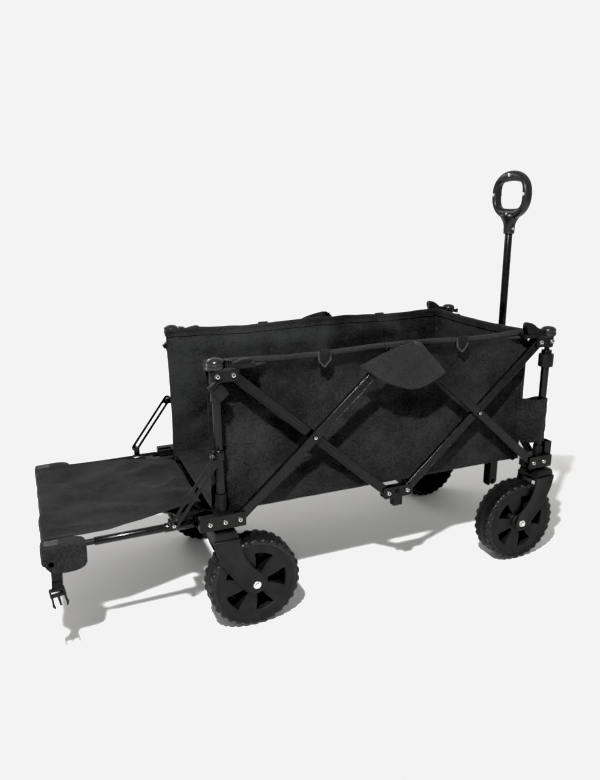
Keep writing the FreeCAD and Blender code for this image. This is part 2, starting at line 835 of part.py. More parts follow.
def fork(end, side):
    """A two-legged fork with its axle. The front ones turn on a stem."""
    name = corner_name(end, side, "fork")
    post = at("post_x")
    hub_x = at("axle_x")
    top = at("fork_leg_top")
    half = at("fork_half")
    reach = at("fork_end_r")
    axle_z = at("wheel_r")
    half_wide = "wheel_width / 2 + fork_gap"
    leg_points = [
        Vec(end * post + half, top, 0),
        Vec(end * post - half, top, 0),
        Vec(end * hub_x - reach, axle_z + (4 if end == REAR else 0), 0),
        Vec(end * hub_x - reach, axle_z - reach, 0),
        Vec(end * hub_x + reach, axle_z - reach, 0),
        Vec(end * hub_x + reach, axle_z + (4 if end == FRONT else 0), 0),
    ]
    hub_centre = Vec(end * hub_x, axle_z, 0)
    legs = []
    for which, (low, high) in {
        "outer": (half_wide, f"{half_wide} + fork_plate"),
        "inner": (f"-({half_wide}) - fork_plate", f"-({half_wide})"),
    }.items():
        label = f"{name}_{which}_leg"
        leg = padded_body(label, rounded_outline(leg_points, 9), "fork_plate",
                          [(hub_centre, "axle_r")])
        plate_upright(leg, side, f"wheel_y + {low}", f"wheel_y + {high}")
        legs.append(leg)
    crown = slab(
        name + "_crown", span(end, "post_x - fork_half + 3", "post_x + fork_half - 3"),
        span(side, f"wheel_y - ({half_wide}) - 1", f"wheel_y + {half_wide} + 1"),
        ("fork_leg_top - fork_crown", "fork_leg_top - 1"),
    )
    neck = round_bar(name + "_neck", "z", (f"{end} * post_x", f"{side} * post_y"),
                     ("fork_leg_top - 4", "fork_top"), "fork_neck_r")
    solids = [*legs, crown, neck]
    if end == FRONT:
        solids.append(
            round_bar(name + "_stem", "z", (f"{end} * post_x", f"{side} * post_y"),
                      ("fork_top - 2", "stem_top"), "stem_r")
        )
    axle = screw(name + "_axle", "y", (f"{end} * axle_x", "wheel_r"),
                 f"{side} * (wheel_y - ({half_wide}) - fork_plate)",
                 f"{side} * (wheel_y + {half_wide} + fork_plate)", radius="axle_r", heads=2)
    node(name, [fuse(name + "_casting", solids), axle])


def turned_ring(label, profile_points, radius):
    """A ring turned about its own Z from points (distance from axis, height)."""
    body = doc.addObject("PartDesign::Body", label)
    points = [Vec(out, up, 0) for out, up in profile_points]
    profile = sketch_in(body, "XZ_Plane", rounded_outline(points, radius), label + "_profile")
    turned = body.newObject("PartDesign::Revolution", label + "_turned")
    turned.Profile = profile
    turned.ReferenceAxis = (profile, ["V_Axis"])
    turned.Angle = 360
    return body


def rim(label):
    """A moulded rim with five windows, turned about its own Z."""
    half = at("wheel_width") / 2 - at("side_bevel")
    web = at("rim_web") / 2
    bore = at("axle_r") + at("play")
    hub_r = at("rim_hub_r")
    lip = at("rim_lip_r")
    seat = at("tyre_in_r")
    points = [
        (bore, -half), (hub_r, -half), (hub_r, -web), (lip, -web), (lip, -half), (seat, -half),
        (seat, half), (lip, half), (lip, web), (hub_r, web), (hub_r, half), (bore, half),
    ]
    body = turned_ring(label, points, 0.6)
    near, near_turn = at("window_in_r"), math.radians(at("window_in_angle"))
    far, far_turn = at("window_out_r"), math.radians(at("window_out_angle"))
    window = [
        Vec(math.cos(turn) * out, math.sin(turn) * out, 0)
        for turn, out in ((-near_turn, near), (near_turn, near), (far_turn, far), (-far_turn, far))
    ]
    sketch = sketch_in(body, "XY_Plane", rounded_outline(window, 4), label + "_window")
    opening = body.newObject("PartDesign::Pocket", label + "_opening")
    opening.Profile = sketch
    opening.Type = "ThroughAll"
    opening.Midplane = True
    pattern = body.newObject("PartDesign::PolarPattern", label + "_windows")
    pattern.Originals = [opening]
    pattern.Axis = (sketch, ["N_Axis"])
    pattern.Angle = 360
    pattern.Occurrences = 5
    body.Tip = pattern
    return body


def tyre(label):
    """A square-shouldered tread, turned about its own Z."""
    half = at("wheel_width") / 2
    outer = at("wheel_r")
    inner = at("tyre_in_r")
    shoulder = outer - at("tyre_shoulder")
    tread = half - at("tread_bevel")
    seat = half - at("side_bevel")
    points = [
        (inner, -seat), (shoulder, -half), (outer, -tread),
        (outer, tread), (shoulder, half), (inner, seat),
    ]
    return turned_ring(label, points, 1.5)


def wheel(end, side):
    name = corner_name(end, side, "wheel")
    pieces = [rim(name + "_rim"), tyre(name + "_tyre")]
    whole = doc.addObject("Part::Compound", name)
    whole.Label = name
    whole.Links = pieces
    whole.Placement = FreeCAD.Placement(Vec(), AXIS_TURNS["y"])
    for axis, place in zip("xyz", (f"middle_x + {end} * axle_x", f"{side} * wheel_y", "wheel_r")):
        whole.setExpression("Placement.Base." + axis, formula(place))
    NODES[name] = whole


# ---------------------------------------------------------------- pulling handle


def handle():
    """A carrier channel hung from the front cross, and a telescoping pole that tilts in it."""
    wide = ("-carrier_half", "carrier_half")
    back = slab("carrier_plate", ("carrier_back", "carrier_face"), wide, ("carrier_low", "cross_z + 22"))
    solids = [soften("carrier_plate_soft", back, 6, along_axis(Vec(1, 0, 0)))]
    for sign in (RIGHT, LEFT):
        label = f"carrier_side_{SIDE_NAMES[sign]}"
        side_wall = slab(label, ("carrier_face - 1", "carrier_lip"),
                         span(sign, "carrier_half - carrier_wall", "carrier_half"),
                         ("carrier_low + 6", "channel_top"))
        solids.append(soften(label + "_soft", side_wall, 8, along_axis(Vec(0, 1, 0))))
    hinge = ("handle_x", "handle_low")
    through = ("-carrier_half - 1", "carrier_half + 1")
    carrier = cut(
        "carrier_channel", fuse("carrier_solid", solids),
        [
            round_bar("carrier_pin_hole", "y", hinge, through, "handle_pin_r"),
            round_bar("carrier_eye", "x", ("0", "cross_z"),
                      ("carrier_back - 1", "carrier_face + 1"), LOOSE),
        ],
    )
    pin = screw("handle_pin", "y", hinge, "carrier_half", "-carrier_half",
                radius="handle_pin_r", heads=2)
    node("handle_carrier", [carrier, pin])

    centre = ("handle_x", "0")
    eye = cut(
        "handle_eye",
        fuse("handle_eye_solid", [
            round_bar("handle_eye_barrel", "y", hinge,
                      ("-lower_tube_r + 0.4", "lower_tube_r - 0.4"), "lower_tube_r - 1"),
            round_bar("handle_eye_plug", "z", centre,
                      ("handle_low", "handle_low + handle_plug"), "lower_tube_bore"),
            round_bar("handle_eye_shoulder", "z", centre,
                      ("handle_low", "handle_low + handle_shoulder"), "lower_tube_r"),
        ]),
        [round_bar("handle_eye_bore", "y", hinge, ("-lower_tube_r - 1", "lower_tube_r + 1"),
                   "handle_pin_r + play")],
    )
    tube = hollow("handle_tube", "z", centre, ("handle_low + handle_shoulder", "lower_tube_top"),
                  "lower_tube_r", "lower_tube_bore")
    lock = cut(
        "handle_lock",
        round_bar("handle_lock_outside", "z", centre, ("lock_low", "lock_top"), "lock_r"),
        [
            round_bar("handle_lock_seat", "z", centre, ("lock_low - 1", "lower_tube_top"), "lower_tube_r"),
            round_bar("handle_lock_bore", "z", centre, ("lock_low", "lock_top + 1"), "lower_tube_bore"),
            round_bar("handle_lock_pocket", "y", ("handle_x", "lower_tube_top + 10"),
                      ("-lock_r - 1", "0"), "button_r + play"),
        ],
    )
    node("handle_lower_tube", [tube, eye, lock])
    button = round_bar("handle_button_solid", "y", ("handle_x", "lower_tube_top + 10"),
                       ("-button_out", "-button_in"), "button_r")
    node("handle_button", [button])
    node("handle_pole", [hollow("handle_pole_tube", "z", centre, ("pole_low", "neck_low + grip_seat"),
                                "pole_r", "pole_bore")])
    node("handle_grip", [grip(centre)])


def grip(centre):
    """A loop grip with four finger hollows, on a round neck."""
    body = doc.addObject("PartDesign::Body", "grip_loop")
    up = Vec(0, 0, 1)
    outer = Part.Ellipse(Vec(), at("grip_half_y"), at("grip_half_z"))
    hole = Part.Ellipse(Vec(0, 4, 0), at("grip_hole_y"), at("grip_hole_z"))
    ring = sketch_in(body, "XY_Plane", [outer, hole], "grip_outline")
    pad = body.newObject("PartDesign::Pad", "grip_pad")
    pad.Profile = ring
    pad.setExpression("Length", formula("grip_thick"))
    doc.recompute()
    edge_names = [f"Edge{i}" for i, edge in enumerate(pad.Shape.Edges, start=1) if edge.Closed]
    round_over = body.newObject("PartDesign::Fillet", "grip_round")
    round_over.Base = (pad, edge_names)
    round_over.setExpression("Radius", formula("grip_round"))
    # the outline's X lies across the wagon and its Y points up
    body.Placement = FreeCAD.Placement(Vec(), FreeCAD.Rotation(Vec(0, 1, 0), up, Vec(1, 0, 0), "XZY"))
    body.setExpression("Placement.Base.x", formula("handle_x - grip_thick / 2"))
    body.setExpression("Placement.Base.z", formula("grip_z"))
    hollows = [
        round_bar(f"grip_finger_{n}", "x",
                  (f"({place}) * finger_step", f"grip_z + finger_rise - {abs(place)} * finger_drop"),
                  ("handle_x - grip_thick", "handle_x + grip_thick"), "finger_r")
        for n, place in enumerate((-1.5, -0.5, 0.5, 1.5))
    ]
    neck = round_bar("grip_neck", "z", centre, ("neck_low", "grip_z - grip_half_z + grip_round"), "connector_r")
    seat = round_bar("grip_seat", "z", centre, ("neck_low - 1", "neck_low + grip_seat"), "pole_r")
    return cut("grip_body", fuse("grip_solid", [body, neck]), [seat, *hollows])


# ---------------------------------------------------------------- tailgate


def gate_tube(side):
    """One side tube of the tailgate, hinged in the rear foot, with its cross-bar arm and link stud."""
    name = f"{SIDE_NAMES[side]}_gate_tube"
    line = (f"{side} * post_y", "low_z")
    hinge = ("-gate_hinge_x", "low_z")
    eye = cut(
        name + "_eye",
        fuse(name + "_eye_solid", [
            round_bar(name + "_eye_barrel", "y", hinge,
                      span(side, "post_y - gate_tube_r", "post_y + gate_tube_r"), "gate_tube_r"),
            round_bar(name + "_eye_neck", "x", line, ("-gate_eye_end", "-gate_hinge_x"), "gate_tube_r - 0.7"),
            round_bar(name + "_eye_plug", "x", line,
                      ("-gate_eye_end - spacer_r", "-gate_eye_end + 1"), "gate_tube_bore"),
        ]),
        [round_bar(name + "_eye_bore", "y", hinge,
                   span(side, "post_y - eye_r", "post_y + eye_r"), LOOSE)],
    )
    tube = hollow(name + "_tube", "x", line, ("-gate_tube_end", "-gate_eye_end"),
                  "gate_tube_r", "gate_tube_bore")
    arm_z = ("gate_arm_low", "gate_arm_top")
    pivot = ("-gate_hinge_x", f"{side} * cross_y")
    stud = ("-link_pin_x", "link_pin_z")
    sleeve = cut(
        name + "_sleeve",
        fuse(name + "_sleeve_solid", [
            round_bar(name + "_sleeve_ring", "x", line,
                      ("-gate_sleeve_end", "-gate_sleeve_start"), "gate_sleeve_r"),
            slab(name + "_arm_across", ("-gate_arm_far", "-gate_arm_near"),
                 span(side, "cross_y - eye_r", "post_y - gate_tube_r - 0.5"), arm_z),
            slab(name + "_arm_back", ("-gate_arm_middle", "-gate_hinge_x"),
                 span(side, "cross_y - eye_r", "cross_y + eye_r"), arm_z),
            round_bar(name + "_arm_eye", "z", pivot, arm_z, "eye_r"),
            slab(name + "_stud_lug", ("-link_pin_x - stud_lug_half", "-link_pin_x + stud_lug_half"),
                 span(side, "post_y + gate_tube_r + 0.5", "post_y + gate_tube_r + 4"),
                 ("low_z - 3", "link_pin_z + 6")),
            round_bar(name + "_stud", "y", stud,
                      span(side, "post_y + gate_tube_r + 0.5", "link_in - 0.5"), "stud_r"),
        ]),
        [
            round_bar(name + "_sleeve_bore", "x", line,
                      ("-gate_sleeve_end - 1", "-gate_sleeve_start + 1"), "gate_tube_r"),
            round_bar(name + "_arm_pin_hole", "z", pivot, ("gate_arm_low - 1", "gate_arm_top + 1"), "pivot_r"),
        ],
    )
    node(name, [eye, tube, sleeve, *gate_pin(name, pivot, low=side == RIGHT)])


def gate_pin(name, pivot, low):
    """The upright pin of a tailgate cross bar. The lower bar's pin has a spacer."""
    bar_low = "gate_bar_low" if low else "gate_bar_low + gate_bar_thick + 2"
    bar_top = f"{bar_low} + gate_bar_thick"
    pin = round_bar(name + "_cross_pin", "z", pivot, (f"{bar_low} - 1", "gate_arm_top"), "pivot_r")
    head = round_bar(name + "_cross_pin_head", "z", pivot, (f"{bar_low} - 3.2", f"{bar_low} - 0.2"), "head_r")
    pieces = [fuse(name + "_cross_pin_whole", [pin, head])]
    if low:
        pieces.append(
            hollow(name + "_cross_spacer", "z", pivot, (f"{bar_top} + 0.3", "gate_arm_low"),
                   "spacer_r", "pivot_r")
        )
    return pieces


def gate_corner(side):
    """The outer corner of the tailgate: a moulded block on a rod that slides in the side tube."""
    name = f"{SIDE_NAMES[side]}_gate_corner"
    line = (f"{side} * post_y", "low_z")
    rod = round_bar(name + "_rod", "x", line, ("-gate_end + gate_rod_inset", "-gate_sleeve_start"), "rod_r")
    block = slab(name + "_block_raw", ("-gate_end", "-gate_block_end"),
                 span(side, "bracket_in", "gate_block_out"), ("gate_block_low", "gate_block_top"))
    block = soften(name + "_block_soft", block, 9, along_axis(Vec(0, 1, 0)))
    arm_z = ("gate_arm_low", "gate_arm_top")
    pivot = ("-gate_pin_x", f"{side} * cross_y")
    moulding = cut(
        name + "_moulding",
        fuse(name + "_moulding_solid", [
            block,
            round_bar(name + "_socket", "x", line,
                      ("-gate_block_end - 1", "-gate_block_start"), "gate_sleeve_r"),
            slab(name + "_arm", ("-gate_pin_x - eye_r", "-gate_pin_x + eye_r"),
                 span(side, "cross_y", "bracket_in + 2"), arm_z),
            round_bar(name + "_arm_eye", "z", pivot, arm_z, "eye_r"),
        ]),
        [
            round_bar(name + "_rod_seat", "x", line,
                      ("-gate_end + gate_rod_inset", "-gate_block_start + 1"), "rod_r"),
            round_bar(name + "_arm_pin_hole", "z", pivot, ("gate_arm_low - 1", "gate_arm_top + 1"), "pivot_r"),
        ],
    )
    strap_pin = fuse(name + "_strap_pin", [
        round_bar(name + "_strap_shank", "y", ("-strap_x", "strap_pin_z"),
                  span(side, "gate_block_out", "strap_y + strap_thick / 2 + bar_gap"), "pivot_r"),
        round_bar(name + "_strap_head", "y", ("-strap_x", "strap_pin_z"),
                  span(side, "strap_y + strap_thick / 2 + bar_gap", "strap_y + strap_thick / 2 + 2"), "head_r"),
        round_bar(name + "_strap_collar", "y", ("-strap_x", "strap_pin_z"),
                  span(side, "gate_block_out", "strap_y - strap_thick / 2 - bar_gap"), "head_r"),
    ])
    node(name, [moulding, rod, strap_pin, *gate_pin(name, pivot, low=side == LEFT)])


def gate_bar(name, start_side, low):
    """A flat cross bar under the tailgate cloth, from a side tube to the other side's corner."""
    length = "2 * lower_arm"
    crossing_r = "pivot_r" if low else LOOSE
    bar = flat_bar(name, length, "gate_bar_thick", [("0", LOOSE), ("lower_arm", crossing_r), (length, LOOSE)])
    extras = []
    if low:
        shank = round_bar(name + "_crossing", "z", ("lower_arm", "0"),
                          ("-1", "2 * gate_bar_thick + 3"), "pivot_r")
        cap = round_bar(name + "_crossing_head", "z", ("lower_arm", "0"),
                        ("2 * gate_bar_thick + 2.2", "2 * gate_bar_thick + 4.2"), "head_r")
        extras.append(fuse(name + "_crossing_pin", [shank, cap]))
    angle = math.radians(at("open_angle"))
    direction = Vec(-math.sin(angle), -start_side * math.cos(angle), 0)
    up = Vec(0, 0, 1)
    rotation = FreeCAD.Rotation(direction, up.cross(direction), up, "XZY")
    height = "gate_bar_low" if low else "gate_bar_low + gate_bar_thick + 2"
    stand_bar(name, bar, extras, ("middle_x - gate_hinge_x", f"{start_side} * cross_y", height), rotation)


def gate_link(side):
    """A slotted strut that stops the tailgate level."""
    name = f"{SIDE_NAMES[side]}_gate_link"
    top = Vec(-at("link_post_x"), at("link_post_z"), 0)
    low = Vec(-at("link_pin_x"), at("link_pin_z"), 0)
    way = (low - top).normalize()
    across = Vec(-way.y, way.x, 0)
    half = at("link_half")
    slot = at("link_slot_half")

    def stadium(start, end, width):
        mid_start = start - way * width
        mid_end = end + way * width
        return [
            Part.LineSegment(start + across * width, end + across * width),
            Part.Arc(end + across * width, mid_end, end - across * width),
            Part.LineSegment(end - across * width, start - across * width),
            Part.Arc(start - across * width, mid_start, start + across * width),
        ]

    body = doc.addObject("PartDesign::Body", name + "_plate")
    edges = stadium(top, low, half) + stadium(top + way * at("link_slot_start"), low, slot)
    profile = sketch_in(body, "XY_Plane", edges, name + "_outline")
    pad = body.newObject("PartDesign::Pad", name + "_pad")
    pad.Profile = profile
    pad.setExpression("Length", formula("link_out - link_in"))
    plate_upright(body, side, "link_in", "link_out")
    drilled = cut(name + "_drilled", body, [
        round_bar(name + "_pivot_hole", "y", ("-link_post_x", "link_post_z"),
                  span(side, "link_in - 1", "link_out + 1"), LOOSE),
    ])
    stop = screw(name + "_stop_screw", "y", ("-link_pin_x", "link_pin_z"),
                 f"{side} * link_in", f"{side} * link_out", radius="link_slot_half")
    node(name, [drilled, stop])


def hanging_strap(side):
    """A short webbing tail with the male half of a side-release buckle."""
    name = f"{SIDE_NAMES[side]}_gate_strap"
    middle = "-strap_x"
    web_y = span(side, "strap_y - strap_thick / 2", "strap_y + strap_thick / 2")
    webbing = cut(
        name + "_webbing",
        slab(name + "_webbing_whole", (f"{middle} - strap_half", f"{middle} + strap_half"), web_y,
             ("strap_low", "strap_top")),
        [round_bar(name + "_pin_hole", "y", (middle, "strap_pin_z"),
                   span(side, "strap_y - strap_thick", "strap_y + strap_thick"), LOOSE)],
    )
    body_y = span(side, "strap_y - buckle_thick / 2", "strap_y + buckle_thick / 2")
    prong_y = span(side, "strap_y - prong_thick / 2", "strap_y + prong_thick / 2")
    frame = slab(name + "_buckle_frame", (f"{middle} - buckle_half", f"{middle} + buckle_half"), body_y,
                 ("strap_low - buckle_frame", "strap_low"))
    prongs = [
        slab(f"{name}_prong_{n}", (f"{middle} + {place} - prong_half", f"{middle} + {place} + prong_half"),
             prong_y, ("buckle_low", "strap_low - buckle_frame + 1"))
        for n, place in enumerate(("(-prong_place)", "0", "prong_place"))
    ]
    node(name, [webbing, fuse(name + "_buckle", [frame, *prongs])])


# ---------------------------------------------------------------- cloth and rings


def cloth_walls():
    """The basket's three walls, its two floor halves and the tailgate panel, as plain sheets."""
    tall = ("wall_low", "wall_top")
    for side in (RIGHT, LEFT):
        node(
            f"basket_{SIDE_NAMES[side]}_wall",
            [slab(f"wall_{SIDE_NAMES[side]}", ("-wall_rear_x", "wall_front_x - cloth"),
                  span(side, "wall_y - cloth", "wall_y"), tall)],
        )
        node(
            f"basket_{SIDE_NAMES[side]}_floor",
            [slab(f"floor_{SIDE_NAMES[side]}", ("-wall_rear_x + 10", "wall_front_x - cloth - 1"),
                  span(side, "0.5", "wall_y - cloth - 0.5"), ("floor_low", "floor_low + cloth"))],
        )
    node(
        "basket_front_wall",
        [slab("wall_front", ("wall_front_x", "wall_front_x + cloth"), ("-wall_y", "wall_y"), tall)],
    )
    outline = [
        Vec(-at("panel_start_x"), -at("panel_start_y"), 0),
        Vec(-at("panel_start_x"), at("panel_start_y"), 0),
        Vec(-at("panel_end_x"), at("panel_end_y"), 0),
        Vec(-at("panel_end_x"), -at("panel_end_y"), 0),
    ]
    panel = padded_body("gate_panel_sheet", rounded_outline(outline, 6), "cloth")
    panel.setExpression("Placement.Base.z", formula("panel_low"))
    node("tailgate_panel", [panel])


def lashing_ring(end, side):
    """A pointed wire ring that hangs from the rim."""
    name = corner_name(end, side, "lashing_ring")
    half = at("ring_half")
    low = at("ring_low") - at("ring_top")
    wire = at("ring_rod")

    def outline(inset):
        return [
            Vec(-half + inset, -inset, 0),
            Vec(half - inset, -inset, 0),
            Vec(half - inset, low * 0.55, 0),
            Vec(0, low + inset * 1.3, 0),
            Vec(-half + inset, low * 0.55, 0),
        ]

    edges = rounded_outline(outline(0), 4) + rounded_outline(outline(wire), 1.5)
    body = doc.addObject("PartDesign::Body", name + "_wire")
    profile = sketch_in(body, "XY_Plane", edges, name + "_outline")
    pad = body.newObject("PartDesign::Pad", name + "_pad")
    pad.Profile = profile
    pad.setExpression("Length", formula("ring_rod"))
    plate_upright(body, side, "ring_y - ring_rod / 2", "ring_y + ring_rod / 2")
    body.setExpression("Placement.Base.x", formula(f"{end} * ring_x"))
    body.setExpression("Placement.Base.z", formula("ring_top"))
    node(name, [body])


# ---------------------------------------------------------------- the whole wagon

for side in (RIGHT, LEFT):
    for end in (REAR, FRONT):
        foot(end, side)
        post_tube(end, side)
        post_top(end, side)
        fork(end, side)
        wheel(end, side)
        side_bar(side, end, outer=True)
        side_bar(side, end, outer=False)
        lashing_ring(end, side)
    hub(side, top=True)
    hub(side, top=False)
    gate_tube(side)
    gate_corner(side)
    gate_link(side)
    hanging_strap(side)
front_bar("front_bar_lead", RIGHT, lead=True)
front_bar("front_bar_back", LEFT, lead=False)
gate_bar("gate_bar_lower", RIGHT, low=True)
gate_bar("gate_bar_upper", LEFT, low=False)
handle()
cloth_walls()

doc.recompute()
failed = [obj.Name for obj in doc.Objects if {"Invalid", "Error"} & set(obj.State)]
if failed:
    raise RuntimeError(f"these objects did not build: {failed}")
os.makedirs("parts", exist_ok=True)
for name, whole in NODES.items():
    if whole.Shape.isNull() or not whole.Shape.isValid() or not whole.Shape.Solids:
        raise RuntimeError(f"{name} has no valid solid")
for name, whole in NODES.items():
    whole.Shape.exportStep(f"parts/{name}.step")
print(len(NODES), "sub-parts written")
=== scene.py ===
"""The folding camp wagon's looks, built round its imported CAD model."""
import json
import math
from math import cos, pi, radians, sin

import bpy
import numpy as np
from mathutils import Matrix, Vector, noise


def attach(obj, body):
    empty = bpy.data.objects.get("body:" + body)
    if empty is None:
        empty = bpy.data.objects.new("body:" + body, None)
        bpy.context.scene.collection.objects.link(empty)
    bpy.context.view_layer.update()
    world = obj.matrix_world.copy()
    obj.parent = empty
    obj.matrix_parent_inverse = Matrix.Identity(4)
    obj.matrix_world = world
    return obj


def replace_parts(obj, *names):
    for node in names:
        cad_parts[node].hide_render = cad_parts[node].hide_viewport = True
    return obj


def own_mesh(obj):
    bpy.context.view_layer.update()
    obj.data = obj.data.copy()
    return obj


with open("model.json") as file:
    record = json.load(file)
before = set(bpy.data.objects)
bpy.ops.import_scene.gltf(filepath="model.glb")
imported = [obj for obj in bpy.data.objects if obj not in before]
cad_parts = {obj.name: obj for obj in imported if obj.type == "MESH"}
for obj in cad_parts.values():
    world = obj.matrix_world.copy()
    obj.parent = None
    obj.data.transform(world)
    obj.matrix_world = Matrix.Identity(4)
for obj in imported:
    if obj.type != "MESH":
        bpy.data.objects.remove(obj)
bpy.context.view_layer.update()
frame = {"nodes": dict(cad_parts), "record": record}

# -------- the model's own layout, in millimetres
SHIFT = 151.5  # from the design's X to the frame's
ANGLE = radians(41.5)  # the side bars' slope at rest
LOWER, UPPER = 225, 242  # a side bar's length from the foot's pivot to the crossing, and on to the hub's
HUB = 24  # from a hub's middle to its pivots
POST_Y = 202
CORNER_X = HUB + (LOWER + UPPER) * cos(ANGLE)
POST_X = CORNER_X + 31.2
CROSS_X = HUB + UPPER * cos(ANGLE)
LOW_Z = 251
CROSS_Z = LOW_Z + LOWER * sin(ANGLE)
HIGH_Z = LOW_Z + 2 * LOWER * sin(ANGLE)
TOP_HUB_Z = LOW_Z + (LOWER + UPPER) * sin(ANGLE)
LOW_HUB_Z = HIGH_Z - (LOWER + UPPER) * sin(ANGLE)
AXLE_X, AXLE_Z = POST_X - 60, 100
HANDLE_X = 435
FOLDED_LONG, FOLDED_WIDE = 0.4445, 0.4634  # how much of its length and width the folded wagon keeps
RIGHT, LEFT = -1, 1
REAR, FRONT = -1, 1
SIDES = {RIGHT: "right", LEFT: "left"}
ENDS = {REAR: "rear", FRONT: "front"}
CORNERS = [(side, end) for side in SIDES for end in ENDS]
MM = 1000


def metres(point):
    x, y, z = point
    return Vector(((x + SHIFT) / MM, y / MM, z / MM))


def clamp(value):
    return max(0.0, min(1.0, value))


# -------- materials


class Nodes:
    """A short way to write a material's node tree."""

    def __init__(self, name):
        self.material = bpy.data.materials.new(name)
        self.material.use_nodes = True
        self.tree = self.material.node_tree
        self.shader = self.tree.nodes["Principled BSDF"]
        self.place = self.tree.nodes.new("ShaderNodeTexCoord").outputs["Object"]

    def link(self, value, socket):
        if hasattr(value, "is_output"):
            self.tree.links.new(value, socket)
        else:
            socket.default_value = value

    def node(self, kind, output, settings=None, **inputs):
        """The named output of a new node, with its settings and inputs set."""
        node = self.tree.nodes.new("ShaderNode" + kind)
        for name, value in (settings or {}).items():
            setattr(node, name, value)
        for name, value in inputs.items():
            self.link(value, node.inputs[name.replace("_", " ")])
        return node.outputs[output]

    def noise(self, scale, detail=3, rough=0.5):
        return self.node("TexNoise", "Fac", Vector=self.place, Scale=scale, Detail=detail, Roughness=rough)

    def bands(self, period, axis):
        """Even bands across an axis, period in metres."""
        kind = {"wave_type": "BANDS", "bands_direction": axis}
        return self.node("TexWave", "Fac", kind, Vector=self.place, Scale=2 * pi / (20 * period))

    def math(self, operation, one, other):
        node = self.tree.nodes.new("ShaderNodeMath")
        node.operation = operation
        self.link(one, node.inputs[0])
        self.link(other, node.inputs[1])
        return node.outputs[0]

    def between(self, value, low, high, start=0.3, end=0.7):
        run = {"From_Min": start, "From_Max": end, "To_Min": low, "To_Max": high}
        return self.node("MapRange", "Result", Value=value, **run)

    def colours(self, value, low, high, start=0.3, end=0.7):
        node = self.tree.nodes.new("ShaderNodeValToRGB")
        self.link(value, node.inputs["Fac"])
        for stop, place, colour in zip(node.color_ramp.elements, (start, end), (low, high)):
            stop.position = place
            stop.color = (*colour, 1)
        return node.outputs["Color"]

    def bump(self, value, strength, distance, below=None):
        more = {} if below is None else {"Normal": below}
        return self.node("Bump", "Normal", Height=value, Strength=strength, Distance=distance, **more)

    def rounded(self, radius):
        """A normal that turns smoothly over sharp edges."""
        return self.node("Bevel", "Normal", {"samples": 6}, Radius=radius)

    def finish(self, **sockets):
        for name, value in sockets.items():
            self.link(value, self.shader.inputs[name.replace("_", " ")])
        return self.material


def grey(value, warm=0.0):
    return (value * (1 + warm), value, value * (1 - warm))


def coated_steel():
    n = Nodes("coated_steel")
    cloud = n.noise(60, 4)
    peel = n.noise(900, 2)
    return n.finish(
        Base_Color=n.colours(cloud, grey(0.003), grey(0.006)),
        Roughness=n.between(cloud, 0.16, 0.24),
        Normal=n.bump(peel, 0.2, 0.0001, n.rounded(0.0026)),
        Specular_IOR_Level=0.17,
    )


def moulded(name, dark, light, low_rough, high_rough, grain=1400, specular=0.42):
    n = Nodes(name)
    cloud = n.noise(35, 4)
    fine = n.noise(grain, 3, 0.6)
    return n.finish(
        Base_Color=n.colours(cloud, grey(dark), grey(light)),
        Roughness=n.between(n.noise(110, 3), low_rough, high_rough),
        Normal=n.bump(fine, 0.2, 0.00015),
        Specular_IOR_Level=specular,
    )


def woven(name, dark, light, pitch=0.0013, sheen=0.04, ribs=None):
    """Plain-weave polyester, or ribbed webbing when ribs names the axis the ribs run across."""
    n = Nodes(name)
    if ribs:
        thread = n.bands(pitch, ribs)
    else:
        thread = n.math("ADD", n.math("ADD", n.bands(pitch, "X"), n.bands(pitch, "Y")), n.bands(pitch, "Z"))
        thread = n.math("MULTIPLY", thread, 0.5)
    fuzz = n.noise(1500, 2)
    cloud = n.noise(9, 4, 0.6)
    slub = n.noise(260, 3, 0.7)
    rumple = n.noise(26, 5, 0.55)
    normal = n.bump(rumple, 0.5, 0.005)
    normal = n.bump(slub, 0.8, 0.002, normal)
    normal = n.bump(thread, 0.6, 0.0004, normal)
    normal = n.bump(fuzz, 0.25, 0.0003, normal)
    mixed = n.math("ADD", n.math("MULTIPLY", cloud, 0.45), n.math("MULTIPLY", slub, 0.55))
    return n.finish(
        Base_Color=n.colours(mixed, grey(dark, -0.01), grey(light, -0.02), 0.43, 0.57),
        Roughness=n.between(slub, 0.62, 0.8),
        Normal=normal,
        Specular_IOR_Level=0.1,
        Sheen_Weight=sheen,
        Sheen_Roughness=0.45,
        Sheen_Tint=(0.8, 0.8, 0.84, 1),
    )


def plated_zinc():
    n = Nodes("plated_zinc")
    cloud = n.noise(240, 4)
    return n.finish(
        Base_Color=n.colours(cloud, (0.62, 0.61, 0.58), (0.86, 0.86, 0.84)),
        Metallic=1.0,
        Roughness=n.between(n.noise(600, 3), 0.22, 0.4),
        Normal=n.bump(cloud, 0.15, 0.0002),
    )


STEEL = coated_steel()
PLASTIC = moulded("moulded_plastic", 0.004, 0.008, 0.34, 0.46, specular=0.15)
GLOSSY = moulded("satin_plastic", 0.006, 0.009, 0.2, 0.3, specular=0.35)
WHEEL = moulded("wheel_plastic", 0.004, 0.009, 0.46, 0.6, grain=900, specular=0.15)
TREAD = moulded("tread_plastic", 0.004, 0.008, 0.34, 0.48, grain=700, specular=0.22)
GRIP = moulded("grip_plastic", 0.006, 0.010, 0.3, 0.4, grain=1100, specular=0.28)
# painted shade: a darker black laid on the floors of screw sockets and wheel windows, where only shade falls
RECESS_SHADE = moulded("painted_recess_shade", 0.002, 0.003, 0.6, 0.7, specular=0.1)
CLOTH = woven("basket_cloth", 0.005, 0.019)
HEM = woven("hem_cloth", 0.0095, 0.0195, pitch=0.0016, sheen=0.08)
WEBBING = woven("webbing", 0.005, 0.011, pitch=0.0022, ribs="Z")
# painted shade: the basket's cloth made darker for the tailgate, to take down the light its top catches from
# above
TAIL_PAINTED_DARKER = woven("tailgate_weave_painted_darker", 0.003, 0.0145)
